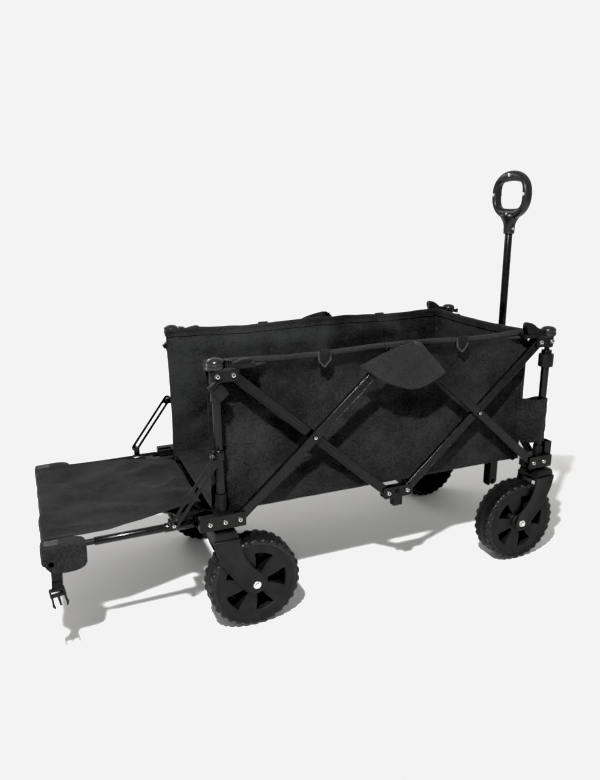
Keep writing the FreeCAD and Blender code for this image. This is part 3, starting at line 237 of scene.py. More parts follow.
# painted highlight: the rings' own black wire given a lighter base to stand in for their shine
RING_PAINTED_LIGHT = moulded("ring_painted_highlight", 0.02, 0.034, 0.28, 0.4, specular=0.4)
ZINC = plated_zinc()

# -------- mesh building

SHARP = 40  # degrees, above which an edge is shaded sharp
BEVELLED = 38  # degrees, above which a piece's edge is bevelled


def turned(axis, centre, along, a, b):
    """The point at along on an axis through centre, and at a and b across it."""
    offset = {"x": (along, a, b), "y": (b, along, a), "z": (a, b, along)}[axis]
    return tuple(c + o for c, o in zip(centre, offset))


class Shape:
    """Points in design millimetres and faces, each face with a material."""

    def __init__(self):
        self.points = []
        self.faces = []
        self.looks = []

    def add(self, points, faces, look):
        start = len(self.points)
        self.points += [tuple(p) for p in points]
        self.faces += [tuple(i + start for i in face) for face in faces]
        self.looks += [look] * len(faces)

    def block(self, x, y, z, look):
        corners = [(a, b, c) for c in sorted(z) for b in sorted(y) for a in sorted(x)]
        faces = [(0, 2, 3, 1), (4, 5, 7, 6), (0, 1, 5, 4), (2, 6, 7, 3), (0, 4, 6, 2), (1, 3, 7, 5)]
        self.add(corners, faces, look)

    def prism(self, outline, axis, low, high, look):
        """A flat outline, in the other two axes' order, pushed along an axis."""
        count = len(outline)
        area = sum(a[0] * b[1] - b[0] * a[1] for a, b in zip(outline, outline[1:] + outline[:1]))
        flip = (area < 0) != (axis == "y")
        order = list(reversed(outline)) if flip else list(outline)
        low, high = min(low, high), max(low, high)
        points = [(u, w, v) if axis == "y" else (w, u, v) for w in (low, high) for u, v in order]
        faces = [tuple(reversed(range(count))), tuple(range(count, 2 * count))]
        faces += [(i, (i + 1) % count, count + (i + 1) % count, count + i) for i in range(count)]
        self.add(points, faces, look)

    def rings(self, loops, look, closed=False, caps=True):
        """Skins equal rings of points one after another."""
        count = len(loops[0])
        points = [p for loop in loops for p in loop]
        faces = []
        total = len(loops)
        for j in range(total if closed else total - 1):
            k = (j + 1) % total
            for i in range(count):
                m = (i + 1) % count
                faces.append((j * count + i, j * count + m, k * count + m, k * count + i))
        if caps and not closed:
            faces.append(tuple(reversed(range(count))))
            faces.append(tuple(range((total - 1) * count, total * count)))
        self.add(points, faces, look)

    def lathe(self, profile, axis, centre, look, count=32):
        """Turns (radius, place along axis) pairs about an axis through centre."""
        loops = []
        for radius, along in profile:
            loop = []
            for i in range(count):
                turn = 2 * pi * i / count
                loop.append(turned(axis, centre, along, radius * cos(turn), radius * sin(turn)))
            loops.append(loop)
        if profile[0][1] > profile[-1][1]:
            loops.reverse()
        self.rings(loops, look)

    def tube(self, path, radius, look, sides=12, closed=False):
        """A round tube along points."""
        path = [Vector(p) for p in path]
        count = len(path)
        loops = []
        side = None
        for i, point in enumerate(path):
            before = path[i - 1] if closed or i else point
            after = path[(i + 1) % count] if closed or i < count - 1 else point
            way = (after - before).normalized()
            if side is None:
                side = way.orthogonal().normalized()
            side = (side - way * side.dot(way)).normalized()
            other = way.cross(side)
            loops.append([
                tuple(point + side * (radius * cos(t)) + other * (radius * sin(t)))
                for t in (2 * pi * k / sides for k in range(sides))
            ])
        self.rings(loops, look, closed=closed)

    def build(self, name, body, bevel=0.0, steps=2, subdivide=0, thick=0.0, squash=None):
        """Makes the piece and lets it ride on its body."""
        mesh = bpy.data.meshes.new(name)
        mesh.from_pydata([metres(p) for p in self.points], [], self.faces)
        looks = []
        for look in self.looks:
            if look not in looks:
                looks.append(look)
        for look in looks:
            mesh.materials.append(look)
        mesh.polygons.foreach_set("material_index", [looks.index(look) for look in self.looks])
        obj = bpy.data.objects.new(name, mesh)
        bpy.context.collection.objects.link(obj)
        if thick:
            skin = obj.modifiers.new("thickness", "SOLIDIFY")
            skin.thickness = thick / MM
            skin.offset = 0
        if bevel:
            round_off = obj.modifiers.new("edges", "BEVEL")
            round_off.width = bevel / MM
            round_off.segments = steps
            round_off.limit_method = "ANGLE"
            round_off.angle_limit = radians(BEVELLED)
        if subdivide:
            finer = obj.modifiers.new("finer", "SUBSURF")
            finer.levels = finer.render_levels = subdivide
        settle(obj)
        if squash:
            axis, anchor, keep = squash
            metres(anchor)
            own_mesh(obj)
        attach(obj, body)
        return obj


def settle(obj):
    """Applies the modifiers and shades smooth except over sharp edges."""
    if obj.modifiers:
        done = bpy.data.meshes.new_from_object(obj.evaluated_get(bpy.context.evaluated_depsgraph_get()))
        obj.modifiers.clear()
        obj.data = done
    obj.data.polygons.foreach_set("use_smooth", [True] * len(obj.data.polygons))
    obj.data.set_sharp_from_angle(angle=radians(SHARP))


def corner(end, side, what):
    return f"{ENDS[end]}_{SIDES[side]}_{what}"


def circle(count, radius, middle=(0, 0)):
    """Points of a round outline in X and Z."""
    turns = (2 * pi * k / count for k in range(count))
    return [(middle[0] + radius * cos(turn), middle[1] + radius * sin(turn)) for turn in turns]


# -------- screws and caps


def head(shape, centre, way, radius=5.4):
    """A button-head screw with a hexagon socket, standing on a side face and pointing along way."""
    count, rise, sixth = 24, 3.3, pi / 3
    loops = []
    profile = [
        (radius, 0, 0), (radius, 0.35, 0), (radius * 0.95, 0.6, 0), (radius * 0.78, 0.86, 0),
        (radius * 0.5, 0.99, 0), (radius * 0.42, 1, 1), (radius * 0.4, 0.5, 1),
    ]
    for wide, share, hexagonal in profile:
        loop = []
        for i in range(count):
            turn = 2 * pi * i / count
            bulge = 1 / cos((turn + sixth / 2) % sixth - sixth / 2) if hexagonal else 1
            a, b = wide * bulge * cos(turn), wide * bulge * sin(turn)
            loop.append(turned("y", centre, way * share * rise, a, b))
        loops.append(loop)
    face = tuple(range(count))
    shape.rings(loops[::way], ZINC, caps=False)
    # painted shade on the socket's floor
    shape.add(loops[-1], [face[::way]], RECESS_SHADE)


def screws():
    """Zinc heads over the modelled ones, one piece for each body."""
    heads = {}

    def put(body, centre, way, **more):
        heads.setdefault(body, []).append((centre, way, more))

    for side in SIDES:
        name = SIDES[side]
        for end in (REAR, FRONT):
            base, top = corner(end, side, "base"), corner(end, side, "top")
            for x in (CORNER_X, POST_X):
                put(base, (end * x, side * 227, LOW_Z), side)
                put(top, (end * x, side * 217, HIGH_Z), side)
            put(f"{name}_outer_bar_{ENDS[end]}", (end * CROSS_X, side * 223, CROSS_Z), side, radius=4.6)
            put(f"{name}_top_hub", (end * HUB, side * 227, TOP_HUB_Z), side)
            put(f"{name}_lower_hub", (end * HUB, side * 217, LOW_HUB_Z), side)
        put(f"rear_{name}_base", (-436, side * 227, LOW_Z), side)
        put(f"{name}_gate_link", (-420, side * 235, 388), side, radius=4.4)
        put(f"{name}_gate_link", (-509, side * 235, 268), side, radius=4.4)
    for body, places in heads.items():
        shape = Shape()
        for centre, way, more in places:
            head(shape, centre, way, **more)
        shape.build(f"screws_{body}", body)


def post_caps():
    for side, end in CORNERS:
        body = corner(end, side, "top")
        x, y = end * POST_X, side * POST_Y
        cap = Shape()
        cap.lathe([
            (15.5, 562.2), (17.6, 562.2), (17.9, 563.5), (17.9, 569.5), (16.9, 570.6), (16.9, 571.8),
            (17.5, 572.8), (17.2, 575.5), (15.4, 578.6), (12, 580.9), (7.5, 582.3), (3.4, 582.9),
            (0.4, 583.1),
        ], "z", (x, y, 0), GLOSSY, 48)
        cap.build(corner(end, side, "cap"), body)
        clip = Shape()
        tall = 1.0 if end > 0 else 0.35
        spine = curve([(17, 571), (34, 573), (42, 590), (60, 604), (76, 604), (74, 586), (66, 572)], 14)
        belly = [(62, 566), (17, 565.5)]
        outline = [(x - end * a, 566 + (z - 566) * tall) for a, z in [*spine, *belly]]
        clip.prism(outline, "y", y - 8, y + 9, PLASTIC)
        for n in range(3):
            rib = x - end * (20 + 5 * n)
            clip.block((rib, rib - end * 2.4), (y - 9.5, y + 10.5), (566, 578 - n), GLOSSY)
        clip.build(corner(end, side, "clip"), body, bevel=1.6)


def lock_sleeves():
    """At the rear the boxy lock across each side bar's upper end; at the front a plain collar on the post."""
    tilt = ANGLE + pi / 2
    plates = ((14, 11, 212, 224, 0), (9, 13, 213, 222, 0), (2, 12.5, 212, 226, 17), (2, 11.5, 212, 225, 21.5))
    for side in SIDES:
        x, z = -POST_X + 3, 519

        def place(a, b):
            u = a * cos(tilt) - b * sin(tilt)
            return (x + u, z + a * sin(tilt) + b * cos(tilt))

        lock = Shape()
        for half_a, half_b, low, high, shift in plates:
            a, b = (shift - half_a, shift + half_a), (-half_b, half_b)
            outline = [place(a[0], b[0]), place(a[1], b[0]), place(a[1], b[1]), place(a[0], b[1])]
            lock.prism(outline, "y", side * low, side * high, PLASTIC)
        lock.build(corner(REAR, side, "lock"), corner(REAR, side, "top"), bevel=1.2)
    for side in SIDES:
        collar = Shape()
        collar.lathe([(13.6, 486), (17, 486.6), (17.4, 489), (17.4, 513), (16.8, 516.4), (13.6, 517)], "z",
                     (POST_X, side * POST_Y, 0), PLASTIC, 40)
        collar.build(corner(FRONT, side, "collar"), corner(FRONT, side, "top"))


def bar_edges():
    """Rounded long edges on the side bars."""
    radius, inward = 2.1, 1.7
    kinds = (("outer", -1, 425.7, 445.7, -112, 352, 223), ("inner", 1, 153.6, 173.6, 179, 642, 213))
    for side, end in CORNERS:
        for kind, way, low, high, start, stop, face in kinds:
            shape = Shape()
            for across in (low + inward, high - inward):
                line = [
                    (way * end * (u * cos(ANGLE) - across * sin(ANGLE)), side * (face - inward),
                     u * sin(ANGLE) + across * cos(ANGLE))
                    for u in (start, stop)
                ]
                shape.tube(line, radius, STEEL, sides=24)
            bar = f"{SIDES[side]}_{kind}_bar_{ENDS[end]}"
            shape.build(bar + "_edges", bar)


# -------- wheels and forks

# the tread's section: place along the axle, radius, and above 0 the share of lobes, below 0 of fine ribs
TYRE = [
    (-23.6, 86, 0), (-24.6, 88.5, 0), (-26.2, 90, 0), (-26.8, 92.5, 0.3), (-26.2, 95.4, 0.8),
    (-24.4, 97.6, 1),
    (-21.6, 98.9, 1), (-18.4, 99.2, 1), (-17.2, 98.2, 0.4), (-16.6, 96.4, 0), (-15.4, 96.6, -1),
    (-14.6, 98.4, -1), (-9, 99, -1), (-2.2, 99.2, -1), (-1.6, 98, 0), (1.6, 98, 0), (2.2, 99.2, -1),
    (9, 99, -1), (14.6, 98.4, -1), (15.4, 96.6, -1), (16.6, 96.4, 0), (17.2, 98.2, 0.4),
    (18.4, 99.2, 1), (21.6, 98.9, 1), (24.4, 97.6, 1),
    (26.2, 95.4, 0.8), (26.8, 92.5, 0.3), (26.2, 90, 0), (24.6, 88.5, 0), (23.6, 86, 0),
]
LOBES, RIBS, TYRE_STEPS = 30, 120, 600
SHOULDER = 92.2  # radius of the ring of small studs


def tyre(shape, centre):
    """The tread: lobed shoulders round a band of fine cross ribs."""
    loops = []
    for y, radius, kind in TYRE:
        loop = []
        for i in range(TYRE_STEPS):
            turn = 2 * pi * i / TYRE_STEPS
            lobe = math.tanh(2.6 * cos(LOBES * turn + (0.9 if y > 0 else -0.9)))
            rib = math.tanh(2.2 * cos(RIBS * turn))
            if kind > 0:
                r = radius + 1.15 * kind * (lobe - 0.3)
                side = y + math.copysign(0.9, y) * kind * lobe * (abs(y) > 24)
            else:
                r = radius + 0.85 * -kind * (rib - 1)
                side = y
            loop.append((centre[0] + r * sin(turn), centre[1] + side, centre[2] + r * cos(turn)))
        loops.append(loop)
    shape.rings(loops, TREAD, caps=False)
    for face in (-1, 1):
        for k in range(LOBES):
            turn = 2 * pi * (k + 0.5) / LOBES
            x, z = centre[0] + SHOULDER * sin(turn), centre[2] + SHOULDER * cos(turn)
            stud = [(2.1, face * 25.4), (1.9, face * 27.2), (0.6, face * 27.6)]
            shape.lathe(stud, "y", (x, centre[1], z), TREAD, 8)


def wheel_face(shape, centre, face):
    """The flat disc of a wheel with its five windows, seen from outside or inside."""
    sectors, window_steps, spoke_steps = 5, 6, 10
    window_in, window_out, twist = 27, 68, 0.31
    between = (58, 48, 38)
    radii = [86, 79, window_out, *between, window_in, 21]

    def half(radius):
        share = (radius - window_in) / (window_out - window_in)
        return radians(13 + 5.5 * clamp(share))

    def level(radius):
        return 23.6 if radius > 70 else 23.6 - 1.6 * (70 - radius) / 49

    def spot(radius, turn, y):
        x, z = centre[0] + radius * sin(turn), centre[2] + radius * cos(turn)
        return (x, centre[1] + face * y, z)

    def turn_at(radius, sector, step):
        middle = 2 * pi * sector / sectors + twist
        if step <= window_steps:
            return middle + half(radius) * (2 * step / window_steps - 1)
        share = (step - window_steps) / spoke_steps
        return middle + half(radius) + share * (2 * pi / sectors - 2 * half(radius))

    steps = window_steps + spoke_steps
    count = sectors * steps
    points = [
        spot(r, turn_at(r, i // steps, i % steps), level(r)) for r in radii for i in range(count)
    ]
    faces = []
    for j in range(len(radii) - 1):
        for i in range(count):
            windowed = window_out >= radii[j] > window_in and i % steps < window_steps
            if not windowed:
                m = (i + 1) % count
                quad = (j * count + i, j * count + m, (j + 1) * count + m, (j + 1) * count + i)
                faces.append(quad if face < 0 else tuple(reversed(quad)))
    shape.add(points, faces, WHEEL)
    for sector in range(sectors):
        rim = [(window_out, s) for s in range(window_steps + 1)]
        rim += [(r, window_steps) for r in between]
        rim += [(window_in, s) for s in range(window_steps, -1, -1)]
        rim += [(r, 0) for r in reversed(between)]
        middle = 2 * pi * sector / sectors + twist
        cx, cz = 50 * sin(middle), 50 * cos(middle)
        loops = []
        for sink, shrink in ((0, 1), (0.9, 0.965), (1.4, 0.95), (19.5, 0.88)):
            loop = []
            for r, s in rim:
                x, y, z = spot(r, turn_at(r, sector, s), level(r) - sink)
                loop.append((centre[0] + cx + (x - centre[0] - cx) * shrink, y,
                             centre[2] + cz + (z - centre[2] - cz) * shrink))
            loops.append(loop)
        if face > 0:
            loops = [list(reversed(loop)) for loop in loops]
        shape.rings([list(reversed(loop)) for loop in loops], WHEEL, caps=False)
        floor_loop = loops[-1]
        # painted shade on the window's floor
        shape.add(floor_loop, [tuple(range(len(floor_loop)))], RECESS_SHADE)
        boss = spot(58, middle, 4.2)
        shape.lathe([(5.5, 0), (5, face * 5), (2.6, face * 5), (2.4, face * 1)], "y", boss, WHEEL, 12)
    studs = 20
    for k in range(studs):
        turn = 2 * pi * (k + 0.5) / studs
        a, b = spot(79, turn - 0.045, 23.4), spot(82, turn + 0.045, 23.4)
        shape.lathe([(1.3, face * -0.3), (1.1, face * 0.7), (0.3, face * 0.8)], "y",
                    tuple((p + q) / 2 for p, q in zip(a, b)), WHEEL, 6)
    hub = [(21.5, 20), (21, 22.6), (18, 25.4), (15, 26.2), (9, 26.2)]
    shape.lathe([(radius, face * along) for radius, along in hub], "y", centre, WHEEL, 40)


def wheels():
    for side, end in CORNERS:
        name = corner(end, side, "wheel")
        centre = (end * AXLE_X, side * 204, AXLE_Z)
        shape = Shape()
        for face in (-1, 1):
            wheel_face(shape, centre, face)
        tyre(shape, centre)
        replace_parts(shape.build(name + "_detail", name), name)


def curve(points, steps):
    """Points along a quadratic or cubic Bezier."""
    out = []
    for i in range(steps + 1):
        t = i / steps
        work = [Vector(p) for p in points]
        while len(work) > 1:
            work = [a.lerp(b, t) for a, b in zip(work, work[1:])]
        out.append(tuple(work[0]))
    return out


def inset(outline, distance):
    """The outline moved inward, for a gently curved closed outline that runs anticlockwise."""
    count = len(outline)
    moved = []
    for i, point in enumerate(outline):
        before, after = Vector(outline[i - 1]), Vector(outline[(i + 1) % count])
        way = (after - before).normalized()
        moved.append((point[0] - way.y * distance, point[1] + way.x * distance))
    return moved


def leg_outline(end):
    """A fork leg from its square shoulders down to the round end at the axle, in X and Z."""
    lean = -end
    left = curve([(-27, 214), (-27, 176), (8, 118), (44, 88)], 12)
    turns = np.linspace(radians(218), radians(395), 12)
    tip = [(60 + 19 * cos(a), AXLE_Z + 19 * sin(a)) for a in turns]
    right = curve([(72, 124), (46, 146), (27, 178), (27, 214)], 12)
    outline = [(end * POST_X + lean * x, z) for x, z in [*left, *tip, *right]]
    return outline if end < 0 else list(reversed(outline))


def forks():
    for side, end in CORNERS:
        node = corner(end, side, "fork")
        body = corner(end, side, "base") if end == REAR else f"front_{SIDES[side]}_caster"
        outline = leg_outline(end)
        x = end * POST_X
        shape = Shape()
        for low, high, out in ((233, 238, 1), (170, 175, -1)):
            face_y = side * (high if out > 0 else low)
            back_y = side * (low if out > 0 else high)
            loops = [
                [(u, back_y, w) for u, w in outline],
                [(u, face_y - side * out * 0.8, w) for u, w in outline],
                [(u, face_y, w) for u, w in inset(outline, 0.9)],
                [(u, face_y, w) for u, w in inset(outline, 3.6)],
                [(u, face_y - side * out, w) for u, w in inset(outline, 4.4)],
            ]
            if side * out > 0:
                loops = [list(reversed(loop)) for loop in loops]
            shape.rings(loops, PLASTIC)
        crown = [(x - 27, 214), (x - 27, 205), (x + 27, 205), (x + 27, 214), (x + 21, 230), (x - 21, 230)]
        shape.prism(crown, "y", side * 174, side * 234, PLASTIC)
        piece = shape.build(node + "_detail", body, bevel=0.9)
        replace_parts(piece, node)
        bolt = Shape()
        axle = (end * AXLE_X, side * 238, AXLE_Z)
        washer = [(8.3, side * -1.2), (8.3, side * 0.2), (7.6, side * 0.8), (5, side * 0.8)]
        bolt.lathe(washer, "y", axle, ZINC, 32)
        bolt.prism(circle(6, 6.1, (axle[0], AXLE_Z)), "y", side * 238.5, side * 242.2, ZINC)
        bolt.lathe([(4.6, side * 4.1), (4.2, side * 4.6), (0.5, side * 4.8)], "y", axle, ZINC, 24)
        bolt.build(corner(end, side, "axle_bolt"), body, bevel=0.35)


# -------- handle


def signed(value, scale, power):
    """A power that keeps the sign, for rounded squares."""
    return scale * abs(value) ** power * math.copysign(1, value)


def grip():
    """The moulded loop grip: round outside, finger waves under the top bar, flat lower edge."""
    steps, ring, wave = 120, 20, 17
    loops = []
    for i in range(steps):
        turn = 2 * pi * i / steps
        c, s = cos(turn), sin(turn)
        outer = Vector((signed(c, 65.5, 0.93), signed(s, 59.5, 0.96)))
        hole = Vector((signed(c, 48, 0.5), signed(s, 33.5, 0.5) + 1))
        if s > 0.75:
            hole.y -= 2.4 * (1 - cos(hole.x * 2 * pi / wave)) * 0.5
        middle, half = (outer + hole) / 2, (outer - hole) / 2
        loop = []
        for k in range(ring):
            a = 2 * pi * k / ring
            u, w = signed(cos(a), 1, 0.75), signed(sin(a), 1, 0.8)
            loop.append((HANDLE_X + 12.4 * w, middle.x + half.x * u, 882 + middle.y + half.y * u))
        loops.append(loop)
    shape = Shape()
    shape.rings(list(reversed(loops)), GRIP, closed=True)
    neck = [(13.2, 790), (14, 792), (14, 806), (15, 812), (19, 822), (27, 832), (22, 838)]
    shape.lathe(neck, "z", (HANDLE_X, 0, 0), GRIP, 40)
    shape.lathe([(10.4, 786), (14.2, 787.5), (14.2, 791), (13, 792)], "z", (HANDLE_X, 0, 0), GLOSSY, 40)
    piece = shape.build("grip_detail", "handle_upper", subdivide=1)
    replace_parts(piece, "handle_grip")
    pins = Shape()
    for y, z in ((0, 930.5), (0, 834.5), (-56.5, 884), (56.5, 884)):
        for way in (-1, 1):
            pin = [(4.6, way * 10.4), (4.4, way * 12.6), (3.6, way * 13.2), (0.4, way * 13.3)]
            pins.lathe(pin, "x", (HANDLE_X, y, z), ZINC, 20)
    pins.lathe([(3.4, -14.2), (3.2, -15), (0.4, -15.3)], "y", (HANDLE_X, 0, 800), ZINC, 20)
    pins.build("grip_screws", "handle_upper")


# -------- cloth


LOW_EDGE = 250  # where the walls meet the floor
BINDING = (1.1, 0.025, 0.095)  # how far it stands off the wall, and its share of the wall's path
FOLD_LONG = ((1, 0, 0), (-POST_X, 0, 0), FOLDED_LONG)  # the squash's axis, anchor and keep
FOLD_WIDE = ((0, 1, 0), (0, -POST_Y, 0), FOLDED_WIDE)


def ridge(a, b, start, end, width, height):
    """A soft fold along a line, as a height at the point (a, b) of a cloth."""
    dx, dy = end[0] - start[0], end[1] - start[1]
    square = dx * dx + dy * dy
    t = ((a - start[0]) * dx + (b - start[1]) * dy) / square
    if not 0 < t < 1:
        return 0.0
    off = ((a - start[0]) * dy - (b - start[1]) * dx) / math.sqrt(square)
    return height * math.exp(-((off / width) ** 2)) * sin(pi * t) ** 0.8


def rumple(a, b, size, seed):
    """Even crumpling, about -1 to 1."""
    first = noise.noise((a / size, b / size, seed))
    second = noise.noise((a / size * 2.3, b / size * 2.3, seed + 7.7))
    return first + 0.45 * second


def crisp(a, b, size, seed):
    """Crumpling with sharper crests, about -1 to 1."""
    return 1 - abs(noise.noise((a / size, b / size, seed))) * 2.2


def free(z):
    """How free of the rim and the lower edge a wall's cloth is, 0 to 1."""
    return clamp((570 - z) / 60) * clamp((z - LOW_EDGE) / 40)


def bell(distance, width):
    return math.exp(-(distance / width) ** 2)


def grid(shape, across, along, place, look, flip=False):
    """A sheet of quads. place(u, v) gives the design point for u and v from 0 to 1."""
    points = [place(i / across, j / along) for j in range(along + 1) for i in range(across + 1)]
    faces = []
    for j in range(along):
        for i in range(across):
            a = j * (across + 1) + i
            quad = (a, a + 1, a + across + 2, a + across + 1)
            faces.append(tuple(reversed(quad)) if flip else quad)
    shape.add(points, faces, look)
    rows = np.array(points).reshape(along + 1, across + 1, 3)
    wide = np.linalg.norm(np.diff(rows, axis=1), axis=2).sum(1).mean()
    long = np.linalg.norm(np.diff(rows, axis=0), axis=2).sum(0).mean()
    return float(wide), float(long)


def along_path(path, share):
    """A point at a share of a polyline's length."""
    lengths = [math.dist(a, b) for a, b in zip(path, path[1:])]
    left = share * sum(lengths)
    for (a, b), length in zip(zip(path, path[1:]), lengths):
        if left <= length:
            t = left / length
            return tuple(p + (q - p) * t for p, q in zip(a, b))
        left -= length
    return path[-1]


def smooth_path(points, rounds=2):
    """Rounds a polyline's corners off."""
    for _ in range(rounds):
        out = [points[0]]
        for a, b in zip(points, points[1:]):
            out.append(tuple(p * 0.75 + q * 0.25 for p, q in zip(a, b)))
            out.append(tuple(p * 0.25 + q * 0.75 for p, q in zip(a, b)))
        out.append(points[-1])
        points = out
    return points


def side_walls():
    """The long cloth walls, with the rim's hem, a binding and the stitched lower edge."""
    folds = [
        ((-410, 560), (-150, 400), 26, 3.2), ((-420, 520), (-260, 330), 18, 2.6),
        ((-425, 300), (-230, 420), 20, 2.4),
        ((-380, 270), (-60, 300), 16, 2.6), ((-240, 545), (20, 330), 30, 2.8),
        ((-40, 300), (170, 520), 26, 2.6),
        ((30, 290), (330, 320), 15, 2.4), ((90, 560), (330, 430), 24, 3.0), ((200, 300), (345, 520), 20, 2.4),
        ((-170, 560), (-150, 470), 12, 2.2), ((170, 560), (190, 460), 12, 2.2),
        ((-100, 270), (0, 400), 14, 2.0),
    ]
    rear, front, bowed = -422, 356, 30
    for side in SIDES:
        profile = smooth_path([
            (184.4, 557), (183.4, 565), (181.6, 571), (182.6, 576.4), (187.6, 576.6), (189, 570),
            (187.6, 556), (187, 530), (186, 300), (185.5, 262), (183, 251.5), (174, 249.5),
        ])

        def place(u, v, lift=0.0, start=0.0, stop=1.0):
            x = rear + u * (front - rear)
            y, z = along_path(profile, start + (stop - start) * v)
            swell = (1.6 + 0.5 * side) * sum(ridge(x, z, *fold) for fold in folds)
            swell += 2.2 * rumple(x, z, 62, side * 3.1) + 3.0 * crisp(x, z + 0.4 * x, 110, side * 5.0)
            swell += 0.8 * rumple(x, z, 25, side * 8.0)
            ends = sin(pi * u) ** 0.5
            under = 1 - math.exp(-((max(0.0, 573 - z) / (28 + 8 * rumple(x, 0, 70, side * 2.0))) ** 2))
            y += free(z) * swell - bowed * under * clamp((z - 252) / 190) * ends
            dip = 5.0 * sin(pi * clamp((x + 400) / 370)) ** 2 * (x < -30)
            dip += 4.0 * sin(pi * clamp((x - 60) / 290)) ** 2 * (x > 60)
            wave = 1.2 * rumple(x, 0, 40, side * 9.0)
            z += max(0.0, (z - 480) / 96) * (wave - dip) + max(0.0, (262 - z) / 12) * wave
            end_pull = 2.5 * max(0.0, 1 - u * 30) * sin(pi * (z - LOW_EDGE) / 326)
            return (x + end_pull, side * (y + lift), z)

        body = f"rear_{SIDES[side]}_top"
        wall = Shape()
        flat = grid(wall, 230, 110, place, CLOTH, flip=side < 0)
        piece = wall.build(f"basket_{SIDES[side]}_cloth", body, thick=1.2, squash=FOLD_LONG)
        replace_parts(piece, f"basket_{SIDES[side]}_wall")
        rim = Shape()
        flat = grid(rim, 230, 14, lambda u, v: place(u, v, *BINDING), HEM, flip=side < 0)
        rim.build(f"basket_{SIDES[side]}_binding", body, thick=0.9, squash=FOLD_LONG)
        stitch = Shape()
        count = 190
        for share, lift in ((0.09, 1.9), (0.945, 0.9)):
            for i in range(count):
                ends = [place((i + part) / count, share, lift) for part in (0.2, 0.75)]
                stitch.tube(ends, 0.35, HEM, sides=4)
        stitch.build(f"basket_{SIDES[side]}_stitches", body, squash=FOLD_LONG)


def end_wall():
    """The front cloth wall with its upright seams."""
    profile = smooth_path([
        (1.8, 557), (0.8, 565), (-1, 571), (0, 576.4), (5, 576.6), (6.4, 570), (5, 556), (4.4, 530),
        (4, 300), (3.5, 262), (0, 251.5), (-9, 249.5),
    ])
    folds = [
        ((-180, 560), (-40, 380)), ((180, 560), (20, 400)),
        ((-170, 270), (-60, 420)), ((170, 280), (60, 440)),
    ]
    seams = (-120, 0, 120)

    def place(u, v, lift=0.0, start=0.0, stop=1.0):
        y = -186.5 + u * 373
        x, z = along_path(profile, start + (stop - start) * v)
        swell = 2.2 * rumple(y, z, 55, 21.0) + 2.4 * crisp(y, z, 80, 4.0)
        swell += sum(ridge(y, z, a, b, 16, 2.6) for a, b in folds)
        swell -= sum(2.2 * bell(y - seam, 3.2) for seam in seams)
        loose = free(z)
        z += max(0.0, (z - 480) / 96) * (-5 * sin(pi * u) + rumple(y, 0, 40, 3.0))
        return (352 + x + loose * swell + lift, y, z)

    wall = Shape()
    flat = grid(wall, 120, 100, place, CLOTH)
    piece = wall.build("basket_front_cloth", "front_right_top", thick=1.2, squash=FOLD_WIDE)
    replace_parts(piece, "basket_front_wall")
    rim = Shape()
    flat = grid(rim, 120, 14, lambda u, v: place(u, v, *BINDING), HEM)
    rim.build("basket_front_binding", "front_right_top", thick=0.9, squash=FOLD_WIDE)
    for side in SIDES:
        seam = Shape()
        line = [(355 + 0.8 * rumple(z, 0, 30, 2.0), side * 187, z) for z in range(253, 576, 9)]
        seam.tube(line, 3.0, HEM, sides=10)
        seam.build(corner(FRONT, side, "seam"), corner(FRONT, side, "top"))


def floors():
    """The two halves of the basket's floor, quilted over their stiffening boards."""
    for side in SIDES:
        def place(u, v):
            x = -415 + u * 761
            y = 0.6 + v * 183
            board = sum(bell(x - seam, 5) for seam in (-240, 0, 200))
            z = 255.2 + 0.7 * rumple(x, y, 45, side * 2.0) - 1.3 * board + 2.6 * max(0, v - 0.93) / 0.07
            z -= 1.5 * bell(y, 4)
            return (x, side * y, z)

        shape = Shape()
        flat = grid(shape, 200, 60, place, CLOTH, flip=side < 0)
        piece = shape.build(f"basket_{SIDES[side]}_floor_cloth", f"{SIDES[side]}_floor", thick=2.0,
                            squash=FOLD_LONG)
        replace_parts(piece, f"basket_{SIDES[side]}_floor")


def hoods():
    """The fan-shaped flaps that cover the hubs at the middle of each rim."""
    rim = smooth_path([
        (-104, 540), (-74, 519), (-40, 500), (-6, 486), (20, 481), (48, 485), (76, 495), (104, 508),
    ])
    apex, start = (30, 585), 0.045
    across, down = 72, 48
    rim_y, stands_off, widest_y = 196, 38, 238.5
    for side in SIDES:
        def place(u, v):
            bx, bz = along_path(rim, u)
            x = apex[0] + (bx - apex[0]) * v
            z = apex[1] + (bz - apex[1]) * v
            proud = 1 - (1 - min(1, v / 0.12)) ** 2
            y = rim_y + stands_off * proud
            facet = max(0.0, 0.2 - u) / 0.2
            y -= (16 * facet * max(0.0, 2 * v - 1) + 9 * max(0.0, 2 * u - 1) ** 3 * v)
            y += 1.3 * sin(u * 21) * v * v + 1.4 * rumple(x, z, 34, side * 4.0) * min(1, v * 3)
            z += 9.0 * sin(pi * v) * max(0.0, 1 - 3 * u)
            return (x, side * min(y, widest_y), z)

        shape = Shape()
        grid(shape, across, down, lambda u, v: place(u, start + (1 - start) * v), HEM, flip=side < 0)
        points = np.array(shape.points).reshape(down + 1, across + 1, 3)
        shape.build(f"{SIDES[side]}_hood", f"{SIDES[side]}_top_hub", thick=1.5)
        edge = Shape()
        edge.tube([place(i / across, 1.0) for i in range(across + 1)], 1.2, CLOTH, sides=8)
        edge.build(f"{SIDES[side]}_hood_piping", f"{SIDES[side]}_top_hub")


